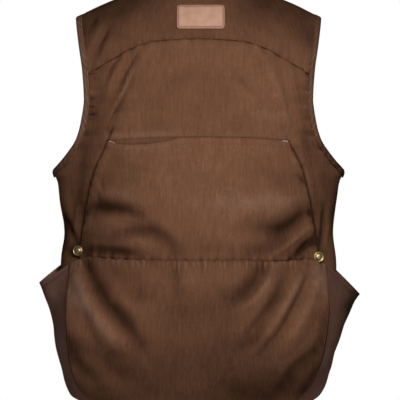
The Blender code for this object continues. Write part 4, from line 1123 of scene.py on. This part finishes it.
# The lengths along each cloth piece's rows and columns are measured, and nothing uses them
for node, grid in grids.items():
    u, v = clothMeasure(grid)

print("making the patch, the snaps and the sewing")
made["leather_patch"], grids["leather_patch"] = makePatch(leather)
made.update(makeSnaps(grids["back_panel"], brass))

slots = {"gusset_left": "side_canvas", "gusset_right": "side_canvas", "leather_patch": "leather"}
slots |= {"armhole_binding_left": "binding", "armhole_binding_right": "binding"}
slots |= {name: "brass" for name in made if name.startswith("snap")}
for node, piece in made.items():
    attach(piece, "root")
    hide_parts(node)

# Rows of stitches: piece, then node, edges, distance inside them and points left out at both ends
sewing = {
    "yokeStitches": (("back_yoke", ("bottom",), 0.0035, 4),),
    "pouchStitches": (("pouch_upper", ("left", "right"), 0.003, 2), ("pouch_upper", ("top",), 0.0125, 3)),
    "bagStitches": (("game_bag", ("left", "right"), 0.003, 4), ("game_bag", ("top",), 0.003, 3)),
    "gussetStitches": [("gusset_" + side, ("top",), 0.0105, 3) for side in ("left", "right")],
    "frontStitches": [("front_" + side, ("bottom",), 0.02, 3) for side in ("left", "right")],
    "placketStitches": (("front_placket", ("left", "right"), 0.003, 2),),
    "bindingStitches": [
        ("armhole_binding_" + side, ("left", "right"), 0.0018, 2) for side in ("left", "right")
    ],
    "patchStitches": (("leather_patch", ("top", "bottom", "left", "right"), 0.0036, 5),),
}
sewn = []
for name, rows in sewing.items():
    lines = [insetLine(grids[node], edge, away, trim) for node, edges, away, trim in rows for edge in edges]
    sewn.append(makeStitches(name, lines, seamThread))
for name, spot in (("tackLeft", (112.3, 142.2)), ("tackRight", (285.1, 141.6))):
    sewn.append(makeTack(name, grids["pouch_upper"], photoPoint(*spot), tackThread))
for piece in sewn:
    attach(piece, "root")

print("setting up the camera and the light")
# The photograph's viewpoint: level, 3.6 m behind, with the lens that gives 1.72 mm a pixel
camera = addObject("viewer", bpy.data.cameras.new("viewer"))
camera.location = (0.0026, -3.6, -0.376)
camera.rotation_euler = (math.pi / 2, 0, 0)
camera.data.sensor_fit = "HORIZONTAL"
camera.data.sensor_width = 36.0
camera.data.lens = 183.1
bpy.context.scene.camera = camera


# A square lamp at a place, turned to its target
def addLight(name, place, target, size, power):
    light = bpy.data.lights.new(name, "AREA")
    light.energy, light.size = power, size
    lamp = addObject(name, light)
    lamp.location = place
    lamp.visible_camera = False
    lamp.rotation_euler = (Vector(target) - Vector(place)).to_track_quat("-Z", "Y").to_euler()


addLight("key", (0.2, -1.35, 0.0), (0.02, -0.1, -0.3), 0.3, 12)
addLight("fill", (-0.9, -2.6, 0.3), (0, -0.1, -0.4), 1.2, 5)
addLight("frontKey", (0.0, 2.4, 0.3), (0, 0.1, -0.4), 1.0, 28)

world = bpy.data.worlds.new("studio")
bpy.context.scene.world = world
world.use_nodes = True
sky = world.node_tree
seen = addNode(sky, "LightPath").outputs["Is Camera Ray"]
strength = mathNode(sky, "MULTIPLY_ADD", seen, 0.94, 0.06)
feed(sky, sky.nodes["Background"], {"Color": (1, 1, 1, 1), "Strength": strength})

floorMaterial, tree, shader = newMaterial("paleFloor")
seen = addNode(tree, "LightPath").outputs["Is Camera Ray"]
glow = {"Emission Color": (1, 1, 1, 1), "Emission Strength": mathNode(tree, "MULTIPLY", seen, 0.62)}
feed(tree, shader, glow | {"Base Color": (0.8, 0.8, 0.8, 1), "Roughness": 0.9})
bpy.ops.mesh.primitive_plane_add(size=8, location=(0, 0, -1.4))
floorPlane = bpy.context.object
floorPlane.name = "floor"
floorPlane.data.materials.append(floorMaterial)
bpy.context.scene.view_settings.view_transform = "Standard"
